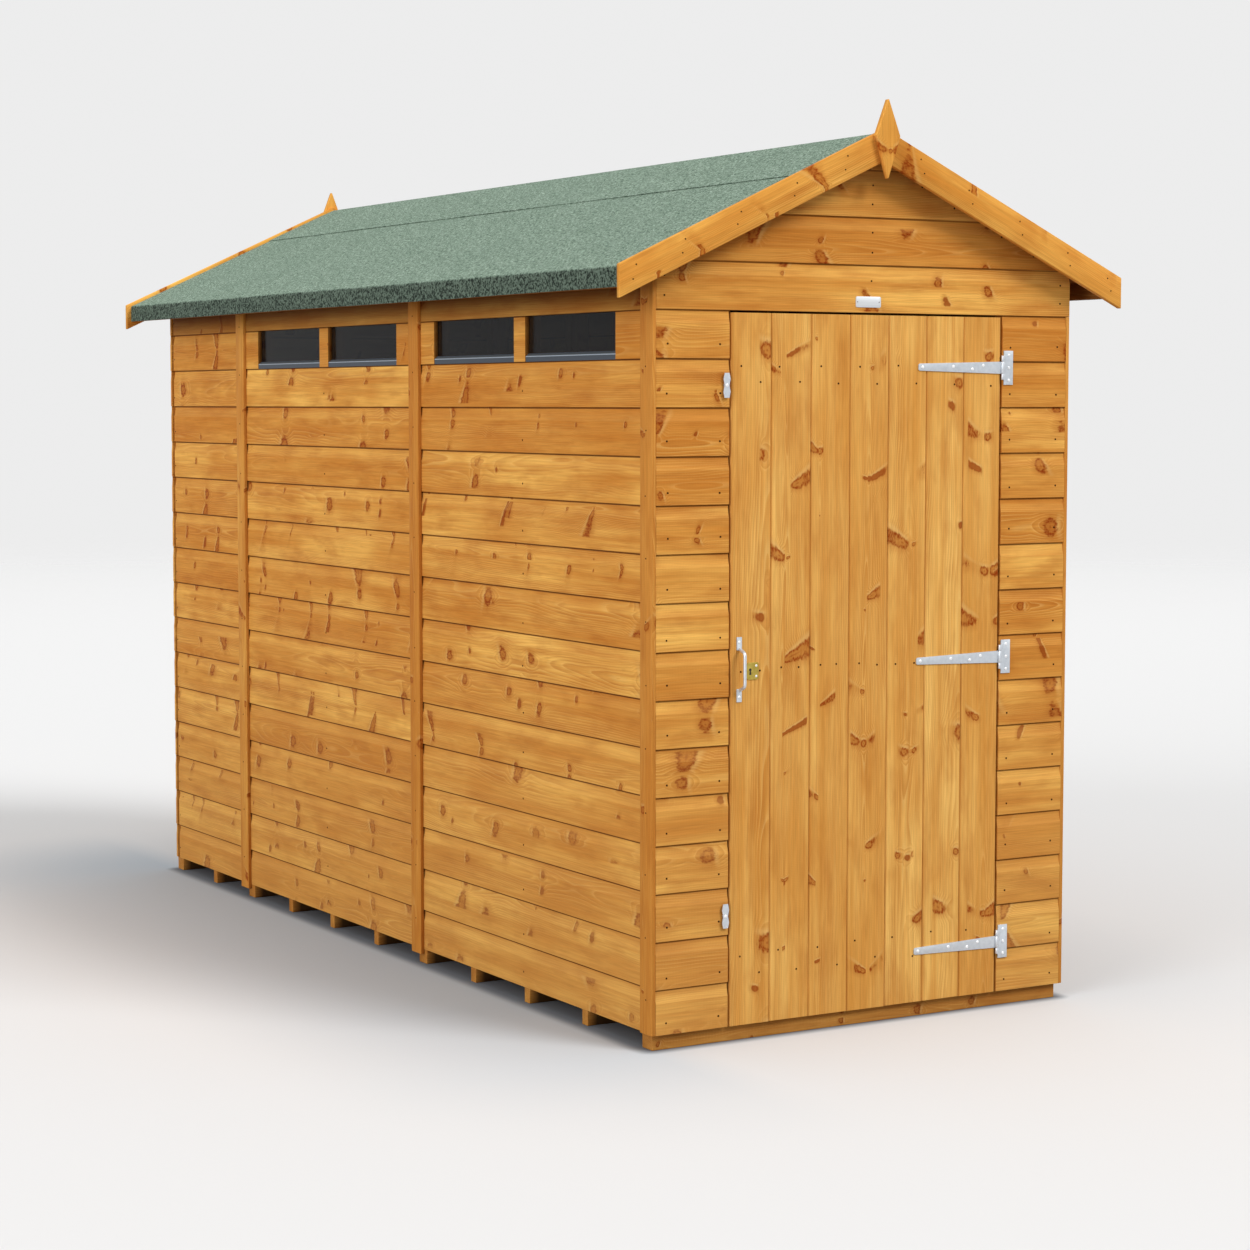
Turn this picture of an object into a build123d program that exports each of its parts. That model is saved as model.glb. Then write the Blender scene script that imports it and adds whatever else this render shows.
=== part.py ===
from build123d import *
import os
from math import asin, cos, radians, sin, tan

# Garden shed of softwood boards on framed panels, with a felted ridge roof and one door.
# Millimetres. X runs to the right along the front, Y runs from the front to the rear, Z is up.
# The origin is on the ground, under the middle of the shed.

# Overall sizes
shed_width = 1200.0  # over the side boards' faces
shed_length = 3050.0  # front boards' face to rear boards' face
side_height = 1864.0  # ground to the roof's underside, at the side boards' face
roof_slope = 24.75  # degrees

# Floor
bearer_height = 38.0
bearer_width = 28.0
joint_bearer_width = 46.0  # at the floor's ends and where two floor sections meet
bearer_spacing_most = 305.0
floor_section_bays = 4  # spaces between bearers in one floor section
bearer_end_inset = 1.0  # side boards' face to the bearers' ends
deck_thickness = 12.0

# Boards of the walls, which lap and show this much each
board_cover = 113.4
bottom_board_cover = 107.0
board_thickness = 12.0
hollow_height = 24.0  # the scooped upper edge of a board, under the lower edge of the next
hollow_depth = 5.5
boards_over_windows = 100.0  # least height of boards left over the windows and the doorway, at the sides

# Framing behind the boards
frame_depth = 38.0
timber_width = 44.0
full_panel_length = 1200.0
full_panels = 2
panel_gap = 1.0
rear_lap = 22.0  # the side boards run this far over the rear frame
seat_gap = 0.3

# Windows in the left wall, two to each full panel
window_width = 448.0
first_windows_shift = 14.5  # the first panel's windows sit this far to the rear of its middle
mullion_width = 60.0
glass_thickness = 3.0
glass_lap = 8.0
glass_edge_gap = 2.0
bead_depth = 12.0

# Cover strips over panel joints and corners
strip_thickness = 10.0
cover_strip_width = 58.0
cover_strip_drop = 12.0
corner_strip_width = 56.0
short_strip_gap = 0.5  # below the head board at the front right corner

# Door
door_opening_width = 800.0
door_gap = 5.0
door_stop_lap = 12.0
door_stop_gap = 5.0
ledge_thickness = 20.0
ledge_width = 84.0
ledge_end_gap = 8.0
bottom_ledge_height = 183.0
middle_ledge_height = 886.0
top_ledge_drop = 144.6  # door's top down to the top ledge's middle
brace_width = 95.0
door_board_count = 7
door_groove_depth = 2.5  # V groove at each joint between door boards, on both faces
cutter_margin = 1.0  # how far a cutter starts outside the face that it cuts
head_rail_gap = 8.0

# T hinges
bottom_hinge_height = 166.0
middle_hinge_height = 886.0
top_hinge_drop = 123.6  # door's top down to the top hinge
hinge_sheet = 2.5
strap_length = 255.0
strap_tip_width = 17.0
strap_root_width = 30.0
strap_tip_round = 3.0
cross_plate_width = 28.0
cross_plate_height = 84.0
knuckle_radius = 4.5
knuckle_height = 14.0
knuckle_gap = 0.6
knuckle_clearance = 1.0
hinge_pin_radius = 2.2
hinge_pin_clearance = 0.3
hinge_axis_proud = 5.3  # boards' face to the hinge axis

# Handle, lock plate, turn buttons and the plate over the door
handle_centre_x = -372.0
handle_centre_z = 890.0
handle_foot_width = 14.0
handle_foot_height = 31.0
handle_foot_thickness = 2.5
handle_grip = 92.0
handle_reach = 27.0
handle_bar_radius = 4.0
handle_bend_radius = 12.0
handle_slope = 10.0
lock_plate_centre_x = -334.0
lock_plate_centre_z = 885.0
lock_plate_width = 33.0
lock_plate_height = 41.0
lock_plate_thickness = 2.0
lock_plate_round = 6.0
turn_button_centre_x = -411.0
lower_button_height = 306.0
upper_button_drop = 169.6  # door's top down to the upper turn button
turn_button_length = 58.0
turn_button_waist = 13.0
turn_button_lobe = 19.0
turn_button_lobe_place = 15.0
turn_button_sheet = 2.0
turn_button_rise = 5.0
turn_button_boss_radius = 6.0
head_plate_centre_x = -7.0
head_plate_rise = 25.9  # doorway's head up to the plate's middle
head_plate_width = 73.0
head_plate_height = 26.0
head_plate_thickness = 1.5
head_plate_round = 4.0

# Roof
roof_board_thickness = 11.0
felt_thickness = 2.5
eave_reach = 712.5  # middle of the shed to the roof boards' eave edge
eave_fold = 48.0  # depth of the felt folded down over the eave batten
eave_batten_width = 20.0
gable_overhang = 42.0  # gable boards' face to the back of the bargeboards
ridge_purlin_width = 38.0
ridge_purlin_depth = 70.0
side_purlin_place = 300.0
side_purlin_depth = 50.0
bargeboard_width = 70.0
bargeboard_thickness = 14.0
bargeboard_rise = 10.0  # above the felt, square to the slope
bargeboard_past_eave = 16.5
mitre_gap = 0.3
finial_width = 68.0
front_finial_rise = 68.5  # from the bargeboards' apex up to the finial's top
rear_finial_rise = 50.5
finial_length = 188.0
finial_tip_length = 87.0  # from the top down to the widest place
finial_thickness = 14.0

# Sizes worked out from those above
half_width = shed_width / 2
front = -shed_length / 2
rear = shed_length / 2
gable_depth = board_thickness + frame_depth
front_inside = front + gable_depth
rear_inside = rear - gable_depth
floor_top = bearer_height + deck_thickness
boards_bottom = bearer_height
frame_face = half_width - board_thickness
frame_back = frame_face - frame_depth
slope_cos = cos(radians(roof_slope))
slope_tan = tan(radians(roof_slope))
half_opening = door_opening_width / 2
half_door = half_opening - door_gap
door_board_width = 2 * half_door / door_board_count
bargeboard_reach = eave_reach + bargeboard_past_eave
hinge_axis_x = (half_opening + half_door) / 2
hinge_axis_y = front - hinge_axis_proud


def joint_z(number):
    """Height of a joint between two wall boards, counted from 1 at the bottom."""
    return boards_bottom + bottom_board_cover + (number - 1) * board_cover


def roof_underside(x):
    """Height of the roof boards' underside at x."""
    return side_height + (half_width - abs(x)) * slope_tan


def roof_boards_top(x):
    return roof_underside(x) + roof_board_thickness / slope_cos


def felt_top(x):
    return roof_boards_top(x) + felt_thickness / slope_cos


def bargeboard_top(x):
    return felt_top(x) + bargeboard_rise / slope_cos


def bargeboard_lower(x):
    return bargeboard_top(x) - bargeboard_width / slope_cos


def under_roof(x):
    """Top of a piece that seats under the roof boards."""
    return roof_underside(x) - seat_gap


height_for_boards = side_height - boards_over_windows - joint_z(1)
joints_below_window = int(height_for_boards // board_cover)
joints_below_head = joints_below_window + 1  # the door opening reaches up to this joint
window_bottom = joint_z(joints_below_window)
window_top = window_bottom + board_cover
head_z = joint_z(joints_below_head)
door_top = head_z - door_gap
head_rail_bottom = head_z + head_rail_gap
head_plate_centre_z = head_z + head_plate_rise
ledge_heights = (bottom_ledge_height, middle_ledge_height, door_top - top_ledge_drop)
hinge_heights = (bottom_hinge_height, middle_hinge_height, door_top - top_hinge_drop)
turn_button_heights = (lower_button_height, door_top - upper_button_drop)
joints_to_ridge = int((roof_underside(0) - joint_z(1)) // board_cover) + 1
panel_joints = [front_inside + full_panel_length * number for number in range(1, full_panels + 1)]
panel_ends = [front_inside] + panel_joints + [rear_inside]


def block(x, y, z):
    """A box between the low and high values of each axis."""
    centre = [(low + high) / 2 for low, high in (x, y, z)]
    size = [high - low for low, high in (x, y, z)]
    return Pos(*centre) * Box(*size)


def prism_along_y(outline, y_low, y_high):
    """An outline of (x, z) points, extruded from y_low to y_high."""
    face = make_face(Polyline(*[(x, y_low, z) for x, z in outline], close=True))
    return extrude(face, amount=y_high - y_low, dir=(0, 1, 0))


def prism_along_z(outline, z_low, z_high):
    """An outline of (x, y) points, extruded from z_low to z_high."""
    face = make_face(Polyline(*[(x, y, z_low) for x, y in outline], close=True))
    return extrude(face, amount=z_high - z_low, dir=(0, 0, 1))


def on_right(pieces):
    """The same pieces on the other side of the shed."""
    return [mirror(piece, about=Plane.YZ) for piece in pieces]


def board_hollows(wall, length):
    """What the scooped upper edge of every wall board leaves open, as cutters along one wall.

    In the wall's plane, x runs into the wall from its face and y is the height. The scoop is an arc
    that starts on the board's face and is upright where the lower edge of the next board covers it.
    """
    radius = (hollow_height**2 + hollow_depth**2) / (2 * hollow_depth)
    half_angle = asin(hollow_height / radius) / 2
    cutters = []
    for number in range(1, joints_to_ridge + 1):
        top = joint_z(number)
        edge = top - hollow_height
        middle = (hollow_depth - radius * (1 - cos(half_angle)), top - radius * sin(half_angle))
        scoop = ThreePointArc((hollow_depth, top), middle, (0, edge))
        rest = Polyline((0, edge), (-cutter_margin, edge), (-cutter_margin, top), (hollow_depth, top))
        cutters.append(extrude(wall * make_face(scoop + rest), amount=length, dir=wall.z_dir))
    return cutters


def lapped(slab, cutters):
    """A wall slab with the scoops of its boards cut along its face."""
    for cutter in cutters:
        slab -= cutter
    return slab


def save(name, pieces):
    os.makedirs("parts", exist_ok=True)
    solids = [solid for piece in pieces for solid in piece.solids()]
    shape = solids[0] if len(solids) == 1 else Compound(solids)
    export_step(shape, f"parts/{name}.step")


# Floor: bearers across the shed, wider under each joint of the floor, and the deck on them
floor_front = front + board_thickness + door_stop_gap
floor_rear = rear - board_thickness


def bearer_centres():
    """Middle of each bearer along Y, with the wide ones marked."""
    first = floor_front + joint_bearer_width / 2
    last = floor_rear - joint_bearer_width / 2
    bays = -int((first - last) // bearer_spacing_most)
    places = [first + (last - first) * bay / bays for bay in range(bays + 1)]
    return [(place, bay % floor_section_bays == 0 or bay == bays) for bay, place in enumerate(places)]


def floor_bearers():
    reach = half_width - bearer_end_inset
    pieces = []
    for centre, wide in bearer_centres():
        half = (joint_bearer_width if wide else bearer_width) / 2
        pieces.append(block((-reach, reach), (centre - half, centre + half), (0, bearer_height)))
    return pieces


def floor_deck():
    return block((-frame_face, frame_face), (floor_front, floor_rear), (bearer_height, floor_top))


save("floor_bearers", floor_bearers())
save("floor_deck", [floor_deck()])

# Front wall: boards beside the doorway, the gable boards over it, and the frame behind them
front_boards = (front, front + board_thickness)
front_frame = (front + board_thickness, front_inside)
cut_reach = half_width + strip_thickness + cutter_margin
front_plane = Plane(origin=(-cut_reach, front, 0), x_dir=(0, 1, 0), z_dir=(1, 0, 0))
front_hollows = board_hollows(front_plane, 2 * cut_reach)
left_of_door = lapped(block((-half_width, -half_opening), front_boards, (boards_bottom, head_z)), front_hollows)
front_gable_outline = [
    (-half_width, head_z),
    (half_width + strip_thickness, head_z),
    (half_width + strip_thickness, under_roof(half_width + strip_thickness)),
    (0, under_roof(0)),
    (-half_width, under_roof(half_width)),
]
save("front_boards_left", [left_of_door])
save("front_boards_right", on_right([left_of_door]))
save("front_gable_boards", [lapped(prism_along_y(front_gable_outline, *front_boards), front_hollows)])


def sloping_rails(reach, y_range):
    """The two top rails of a gable frame, which follow the roof's underside."""
    outline = [
        (-reach, under_roof(reach)),
        (-mitre_gap / 2, under_roof(mitre_gap / 2)),
        (-mitre_gap / 2, under_roof(mitre_gap / 2) - timber_width),
        (-reach, under_roof(reach) - timber_width),
    ]
    left = prism_along_y(outline, *y_range)
    return [left] + on_right([left])


def corner_posts(reach, y_range):
    outline = [
        (-reach, floor_top),
        (-reach, under_roof(reach) - timber_width),
        (-reach + timber_width, under_roof(reach - timber_width) - timber_width),
        (-reach + timber_width, floor_top),
    ]
    left = prism_along_y(outline, *y_range)
    return [left] + on_right([left])


def middle_post(bottom, y_range):
    """A post under the ridge, pointed to fit between the sloping rails."""
    half = timber_width / 2
    outline = [
        (-half, bottom),
        (-half, under_roof(half) - timber_width),
        (0, under_roof(0) - timber_width),
        (half, under_roof(half) - timber_width),
        (half, bottom),
    ]
    return prism_along_y(outline, *y_range)


def door_post():
    """The post on the left of the doorway, rebated so that its inner edge stops the door."""
    stop_x = -half_opening + door_stop_lap
    stop_y = front_frame[0] + door_stop_gap
    outline = [
        (-half_opening - timber_width, front_frame[0]),
        (-half_opening, front_frame[0]),
        (-half_opening, stop_y),
        (stop_x, stop_y),
        (stop_x, front_frame[1]),
        (-half_opening - timber_width, front_frame[1]),
    ]
    return prism_along_z(outline, floor_top, head_rail_bottom)


door_posts = [door_post()] + on_right([door_post()])
rail_reach = half_width - timber_width
head_rail_top = head_rail_bottom + timber_width
head_rail = block((-rail_reach, rail_reach), front_frame, (head_rail_bottom, head_rail_top))
front_bottom_rail = block(
    (-rail_reach, -half_opening - timber_width), front_frame, (floor_top, floor_top + timber_width)
)
front_posts = corner_posts(half_width, front_frame) + door_posts + [middle_post(head_rail_top, front_frame)]
save("front_posts", front_posts)
save("front_rails", [head_rail, front_bottom_rail] + on_right([front_bottom_rail]))
save("front_gable_rails", sloping_rails(half_width, front_frame))

# Rear wall: closed, with its frame set in so that the side boards lap over it
rear_boards = (rear - board_thickness, rear)
rear_frame = (rear_inside, rear - board_thickness)
rear_outline = [
    (-half_width, boards_bottom),
    (half_width, boards_bottom),
    (half_width, under_roof(half_width)),
    (0, under_roof(0)),
    (-half_width, under_roof(half_width)),
]
rear_plane = Plane(origin=(cut_reach, rear, 0), x_dir=(0, -1, 0), z_dir=(-1, 0, 0))
rear_hollows = board_hollows(rear_plane, 2 * cut_reach)
rear_rail_reach = frame_face - timber_width
rear_rail = block(
    (-rear_rail_reach, -timber_width / 2), rear_frame, (floor_top, floor_top + timber_width)
)
save("rear_boards", [lapped(prism_along_y(rear_outline, *rear_boards), rear_hollows)])
save("rear_posts", corner_posts(frame_face, rear_frame) + [middle_post(floor_top, rear_frame)])
save("rear_rails", [rear_rail] + on_right([rear_rail]))
save("rear_gable_rails", sloping_rails(frame_face, rear_frame))


# Side walls: framed panels end to end, each boarded, with a hairline joint between panels
def panel_span(number):
    """Low and high Y of one side panel, short of its neighbours by the joint."""
    low = panel_ends[number] + (panel_gap / 2 if number > 0 else 0)
    high = panel_ends[number + 1] - (panel_gap / 2 if number < full_panels else 0)
    return low, high


def board_span(number):
    """As the panel, but the last panel's boards run on over the rear frame."""
    low, high = panel_span(number)
    return low, high + (rear_lap if number == full_panels else 0)


left_plane = Plane(origin=(-half_width, rear + cutter_margin, 0), x_dir=(1, 0, 0), z_dir=(0, -1, 0))
left_hollows = board_hollows(left_plane, shed_length + 2 * cutter_margin)


def side_boards(y_range, bottom, top=None):
    """Left wall boards from bottom to top, or to the roof where no top is given."""
    outline = [
        (-half_width, bottom),
        (-frame_face, bottom),
        (-frame_face, under_roof(frame_face) if top is None else top),
        (-half_width, under_roof(half_width) if top is None else top),
    ]
    return lapped(prism_along_y(outline, *y_range), left_hollows)


def window_spans(number):
    """Low and high Y of the two windows of one full panel."""
    middle = (panel_ends[number] + panel_ends[number + 1]) / 2
    if number == 0:
        middle += first_windows_shift
    near = middle - mullion_width / 2
    far = middle + mullion_width / 2
    return [(near - window_width, near), (far, far + window_width)]


top_rail_bottom = under_roof(frame_face) - timber_width
frame_x = (-frame_face, -frame_back)
stud_setback = glass_lap + glass_edge_gap
sill_rail = (window_bottom - stud_setback - timber_width, window_bottom - stud_setback)
head_rail_side = (window_top + stud_setback, window_top + stud_setback + timber_width)


def end_studs(number):
    low, high = panel_span(number)
    z_range = (floor_top + timber_width, top_rail_bottom)
    return [
        block(frame_x, (low, low + timber_width), z_range),
        block(frame_x, (high - timber_width, high), z_range),
    ]


def middle_stud(number, top):
    low, high = panel_span(number)
    middle = (low + high) / 2
    y_range = (middle - timber_width / 2, middle + timber_width / 2)
    return block(frame_x, y_range, (floor_top + timber_width, top))


def window_studs(number):
    """Short studs beside and between a panel's windows."""
    (first_low, first_high), (second_low, second_high) = window_spans(number)
    spans = [
        (first_low - stud_setback - timber_width, first_low - stud_setback),
        (first_high + stud_setback, second_low - stud_setback),
        (second_high + stud_setback, second_high + stud_setback + timber_width),
    ]
    return [block(frame_x, span, (sill_rail[1], head_rail_side[0])) for span in spans]


def panel_rails(number):
    """The bottom rail and the bevelled top rail of one panel."""
    low, high = panel_span(number)
    bottom = block(frame_x, (low, high), (floor_top, floor_top + timber_width))
    outline = [
        (-frame_face, top_rail_bottom),
        (-frame_back, top_rail_bottom),
        (-frame_back, under_roof(frame_back)),
        (-frame_face, under_roof(frame_face)),
    ]
    return [bottom, prism_along_y(outline, low, high)]


def window_rails(number):
    low, high = panel_span(number)
    y_range = (low + timber_width, high - timber_width)
    return [block(frame_x, y_range, z_range) for z_range in (sill_rail, head_rail_side)]


def boards_beside_windows(number):
    """The short boards beside and between a panel's windows."""
    low, high = board_span(number)
    (first_low, first_high), (second_low, second_high) = window_spans(number)
    spans = [(low, first_low), (first_high, second_low), (second_high, high)]
    return [block((-half_width, -frame_face), span, (window_bottom, window_top)) for span in spans]


window_panels = range(full_panels)
all_panels = range(full_panels + 1)
last_panel = full_panels
save("left_boards_below_windows", [side_boards(board_span(n), boards_bottom, window_bottom) for n in window_panels])
save("left_boards_beside_windows", [piece for n in window_panels for piece in boards_beside_windows(n)])
save("left_boards_above_windows", [side_boards(board_span(n), window_top) for n in window_panels])
save("left_boards_rear_panel", [side_boards(board_span(last_panel), boards_bottom)])
save("right_boards", on_right([side_boards(board_span(n), boards_bottom) for n in all_panels]))

ends = [stud for n in all_panels for stud in end_studs(n)]
rails = [rail for n in all_panels for rail in panel_rails(n)]
left_middles = [middle_stud(n, sill_rail[0]) for n in window_panels]
right_middles = [middle_stud(n, top_rail_bottom) for n in window_panels]
shorts = [stud for n in window_panels for stud in window_studs(n)]
save("left_studs", ends + left_middles + shorts)
save("left_rails", rails + [rail for n in window_panels for rail in window_rails(n)])
save("right_studs", on_right(ends + right_middles))
save("right_rails", on_right(rails))


# Windows: fixed panes held behind the boards by beads
def pane(span):
    x_range = (-frame_face, -frame_face + glass_thickness)
    y_range = (span[0] - glass_lap, span[1] + glass_lap)
    return block(x_range, y_range, (window_bottom - glass_lap, window_top + glass_lap))


def beads(span):
    """Four beads round a pane, between the glass and the frame."""
    x_range = (-frame_face + glass_thickness, -frame_face + glass_thickness + bead_depth)
    low, high = span[0] - stud_setback, span[1] + stud_setback
    upright = (window_bottom + seat_gap, window_top - seat_gap)
    return [
        block(x_range, (low, high), (window_bottom - stud_setback, window_bottom)),
        block(x_range, (low, high), (window_top, window_top + stud_setback)),
        block(x_range, (low, span[0]), upright),
        block(x_range, (span[1], high), upright),
    ]


spans = [span for n in window_panels for span in window_spans(n)]
save("window_panes", [pane(span) for span in spans])
save("window_beads", [bead for span in spans for bead in beads(span)])


# Strips over the panel joints and the front corners
def side_strip(y_range, bottom, top=None):
    outside = half_width + strip_thickness
    outline = [
        (-outside, bottom),
        (-half_width, bottom),
        (-half_width, under_roof(half_width) if top is None else top),
        (-outside, under_roof(outside) if top is None else top),
    ]
    return prism_along_y(outline, *y_range)


def cover_strips():
    half = cover_strip_width / 2
    bottom = boards_bottom - cover_strip_drop
    return [side_strip((joint - half, joint + half), bottom) for joint in panel_joints]


corner_range = (front, front + corner_strip_width)
left_corner_strip = side_strip(corner_range, boards_bottom)
right_corner_strip = side_strip(corner_range, boards_bottom, head_z - short_strip_gap)
save("left_cover_strips", cover_strips())
save("right_cover_strips", on_right(cover_strips()))
save("front_corner_strips", [left_corner_strip] + on_right([right_corner_strip]))

# Roof: two boarded slopes on purlins, felt folded down over the eave battens
roof_range = (front - gable_overhang, rear + gable_overhang)


def roof_boards():
    outline = [
        (0, roof_underside(0)),
        (-eave_reach, roof_underside(eave_reach)),
        (-eave_reach, roof_boards_top(eave_reach)),
        (0, roof_boards_top(0)),
    ]
    return prism_along_y(outline, *roof_range)


fold_bottom = felt_top(eave_reach) - eave_fold


def felt():
    outside = eave_reach + felt_thickness
    outline = [
        (0, felt_top(0)),
        (-outside, felt_top(outside)),
        (-outside, fold_bottom),
        (-eave_reach, fold_bottom),
        (-eave_reach, roof_boards_top(eave_reach)),
        (0, roof_boards_top(0)),
    ]
    return prism_along_y(outline, *roof_range)


def eave_batten():
    inside = eave_reach - eave_batten_width
    outline = [
        (-eave_reach, fold_bottom),
        (-inside, fold_bottom),
        (-inside, roof_underside(inside)),
        (-eave_reach, roof_underside(eave_reach)),
    ]
    return prism_along_y(outline, *roof_range)


def ridge_purlin():
    half = ridge_purlin_width / 2
    outline = [
        (-half, under_roof(0) - ridge_purlin_depth),
        (half, under_roof(0) - ridge_purlin_depth),
        (half, under_roof(half)),
        (0, under_roof(0)),
        (-half, under_roof(half)),
    ]
    return prism_along_y(outline, front_inside, rear_inside)


def side_purlin():
    low = side_purlin_place - timber_width / 2
    high = side_purlin_place + timber_width / 2
    outline = [
        (-low, under_roof(low)),
        (-high, under_roof(high)),
        (-high, under_roof(high) - side_purlin_depth),
        (-low, under_roof(low) - side_purlin_depth),
    ]
    return prism_along_y(outline, front_inside, rear_inside)


save("left_roof_boards", [roof_boards()])
save("right_roof_boards", on_right([roof_boards()]))
save("left_felt", [felt()])
save("right_felt", on_right([felt()]))
save("eave_battens", [eave_batten()] + on_right([eave_batten()]))
save("purlins", [ridge_purlin(), side_purlin()] + on_right([side_purlin()]))


# Bargeboards and finials at both ends
def bargeboards(y_range):
    ridge = mitre_gap / 2
    outline = [
        (-ridge, bargeboard_top(ridge)),
        (-bargeboard_reach, bargeboard_top(bargeboard_reach)),
        (-bargeboard_reach, bargeboard_lower(bargeboard_reach)),
        (-ridge, bargeboard_lower(ridge)),
    ]
    left = prism_along_y(outline, *y_range)
    return [left] + on_right([left])


def finial(y_range, rise):
    top = bargeboard_top(0) + rise
    outline = [
        (0, top),
        (-finial_width / 2, top - finial_tip_length),
        (0, top - finial_length),
        (finial_width / 2, top - finial_tip_length),
    ]
    return prism_along_y(outline, *y_range)


bargeboard_back = front - gable_overhang
bargeboard_face = bargeboard_back - bargeboard_thickness
finial_face = bargeboard_face - finial_thickness
save("front_bargeboards", bargeboards((bargeboard_face, bargeboard_back)))
save("rear_bargeboards", bargeboards((-bargeboard_back, -bargeboard_face)))
front_finial = finial((finial_face, bargeboard_face), front_finial_rise)
rear_finial = finial((-bargeboard_face, -finial_face), rear_finial_rise)
save("finials", [front_finial, rear_finial])

# Door: boards on three ledges, with two braces that rise from the hinge side
ledge_reach = half_opening - door_stop_lap - ledge_end_gap
ledge_y = (front + board_thickness, front + board_thickness + ledge_thickness)


def ledge(height):
    return block((-ledge_reach, ledge_reach), ledge_y, (height - ledge_width / 2, height + ledge_width / 2))


def brace(lower, upper):
    """A brace from the hinge side over one ledge to the lock side under the next."""
    bottom = lower + ledge_width / 2 + seat_gap
    top = upper - ledge_width / 2 - seat_gap
    outline = [
        (ledge_reach, bottom),
        (ledge_reach - brace_width, bottom),
        (-ledge_reach, top),
        (-ledge_reach + brace_width, top),
    ]
    return prism_along_y(outline, *ledge_y)


def door_groove(x, face, inwards):
    """A V groove up one face of the door at a joint between two boards."""
    across = door_groove_depth + cutter_margin
    outline = [
        (x - across, face - cutter_margin * inwards),
        (x, face + door_groove_depth * inwards),
        (x + across, face - cutter_margin * inwards),
    ]
    return prism_along_z(outline, boards_bottom - cutter_margin, door_top + cutter_margin)


def door_boards():
    boards = block((-half_door, half_door), front_boards, (boards_bottom, door_top))
    for number in range(1, door_board_count):
        x = -half_door + door_board_width * number
        boards -= door_groove(x, front_boards[0], 1)
        boards -= door_groove(x, front_boards[1], -1)
    return boards


save("door_boards", [door_boards()])
save("door_ledges", [ledge(height) for height in ledge_heights])
save("door_braces", [brace(*pair) for pair in zip(ledge_heights, ledge_heights[1:])])


# T hinges: the cross plate with its two knuckles and the pin is on the wall, the strap on the door
def upright_cylinder(radius, z_low, z_high):
    return Pos(hinge_axis_x, hinge_axis_y, (z_low + z_high) / 2) * Cylinder(radius, z_high - z_low)


def hinge_plate(height):
    sheet_y = (front - hinge_sheet, front)
    inner = hinge_axis_x + knuckle_radius + knuckle_clearance
    knuckle_low = strap_root_width / 2 + knuckle_gap
    knuckle_high = knuckle_low + knuckle_height
    half_plate = cross_plate_height / 2
    plate = block((inner, inner + cross_plate_width), sheet_y, (height - half_plate, height + half_plate))
    plate += upright_cylinder(hinge_pin_radius, height - knuckle_high, height + knuckle_high)
    for low, high in ((-knuckle_high, -knuckle_low), (knuckle_low, knuckle_high)):
        plate += block((hinge_axis_x, inner), sheet_y, (height + low, height + high))
        plate += upright_cylinder(knuckle_radius, height + low, height + high)
    return plate


def hinge_strap(height):
    tip = hinge_axis_x - strap_length
    outline = [
        (hinge_axis_x, height - strap_root_width / 2),
        (hinge_axis_x, height + strap_root_width / 2),
        (tip + strap_tip_round, height + strap_tip_width / 2),
        (tip, height + strap_tip_width / 2 - strap_tip_round),
        (tip, height - strap_tip_width / 2 + strap_tip_round),
        (tip + strap_tip_round, height - strap_tip_width / 2),
    ]
    strap = prism_along_y(outline, front - hinge_sheet, front)
    bottom, top = height - strap_root_width / 2, height + strap_root_width / 2
    strap += upright_cylinder(knuckle_radius, bottom, top)
    return strap - upright_cylinder(hinge_pin_radius + hinge_pin_clearance, bottom, top)


save("hinge_plates", [hinge_plate(height) for height in hinge_heights])
save("hinge_straps", [hinge_strap(height) for height in hinge_heights])


# Handle: a bowed bar between two feet
def door_handle():
    x = handle_centre_x
    foot_y = (front - handle_foot_thickness, front)
    half_grip = handle_grip / 2
    half_foot = handle_foot_width / 2
    feet = [
        block((x - half_foot, x + half_foot), foot_y, (handle_centre_z + low, handle_centre_z + high))
        for low, high in ((half_grip, half_grip + handle_foot_height), (-half_grip - handle_foot_height, -half_grip))
    ]
    start_y = front - handle_foot_thickness / 2
    root = half_grip + handle_bar_radius
    path = FilletPolyline(
        (x, start_y, handle_centre_z + root),
        (x, front - handle_reach, handle_centre_z + root - handle_slope),
        (x, front - handle_reach, handle_centre_z - root + handle_slope),
        (x, start_y, handle_centre_z - root),
        radius=handle_bend_radius,
    )
    section = Plane(origin=path @ 0, z_dir=path % 0) * Circle(handle_bar_radius)
    bar = sweep(section, path=path)
    reach_past = root + handle_bar_radius
    behind_z = (handle_centre_z - reach_past, handle_centre_z + reach_past)
    behind = block((x - handle_foot_width, x + handle_foot_width), (front, front + handle_reach), behind_z)
    return feet[0] + feet[1] + bar - behind


def rounded_plate(centre_x, centre_z, width, height, thickness, corner):
    """A thin plate with rounded corners, flat on the front boards."""
    plane = Plane(origin=(centre_x, front, centre_z), x_dir=(1, 0, 0), z_dir=(0, -1, 0))
    return extrude(plane * RectangleRounded(width, height, corner), amount=thickness)


lock_plate = rounded_plate(
    lock_plate_centre_x,
    lock_plate_centre_z,
    lock_plate_width,
    lock_plate_height,
    lock_plate_thickness,
    lock_plate_round,
)
head_plate = rounded_plate(
    head_plate_centre_x,
    head_plate_centre_z,
    head_plate_width,
    head_plate_height,
    head_plate_thickness,
    head_plate_round,
)
save("door_handle", [door_handle()])
save("lock_plate", [lock_plate])
save("head_plate", [head_plate])


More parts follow.
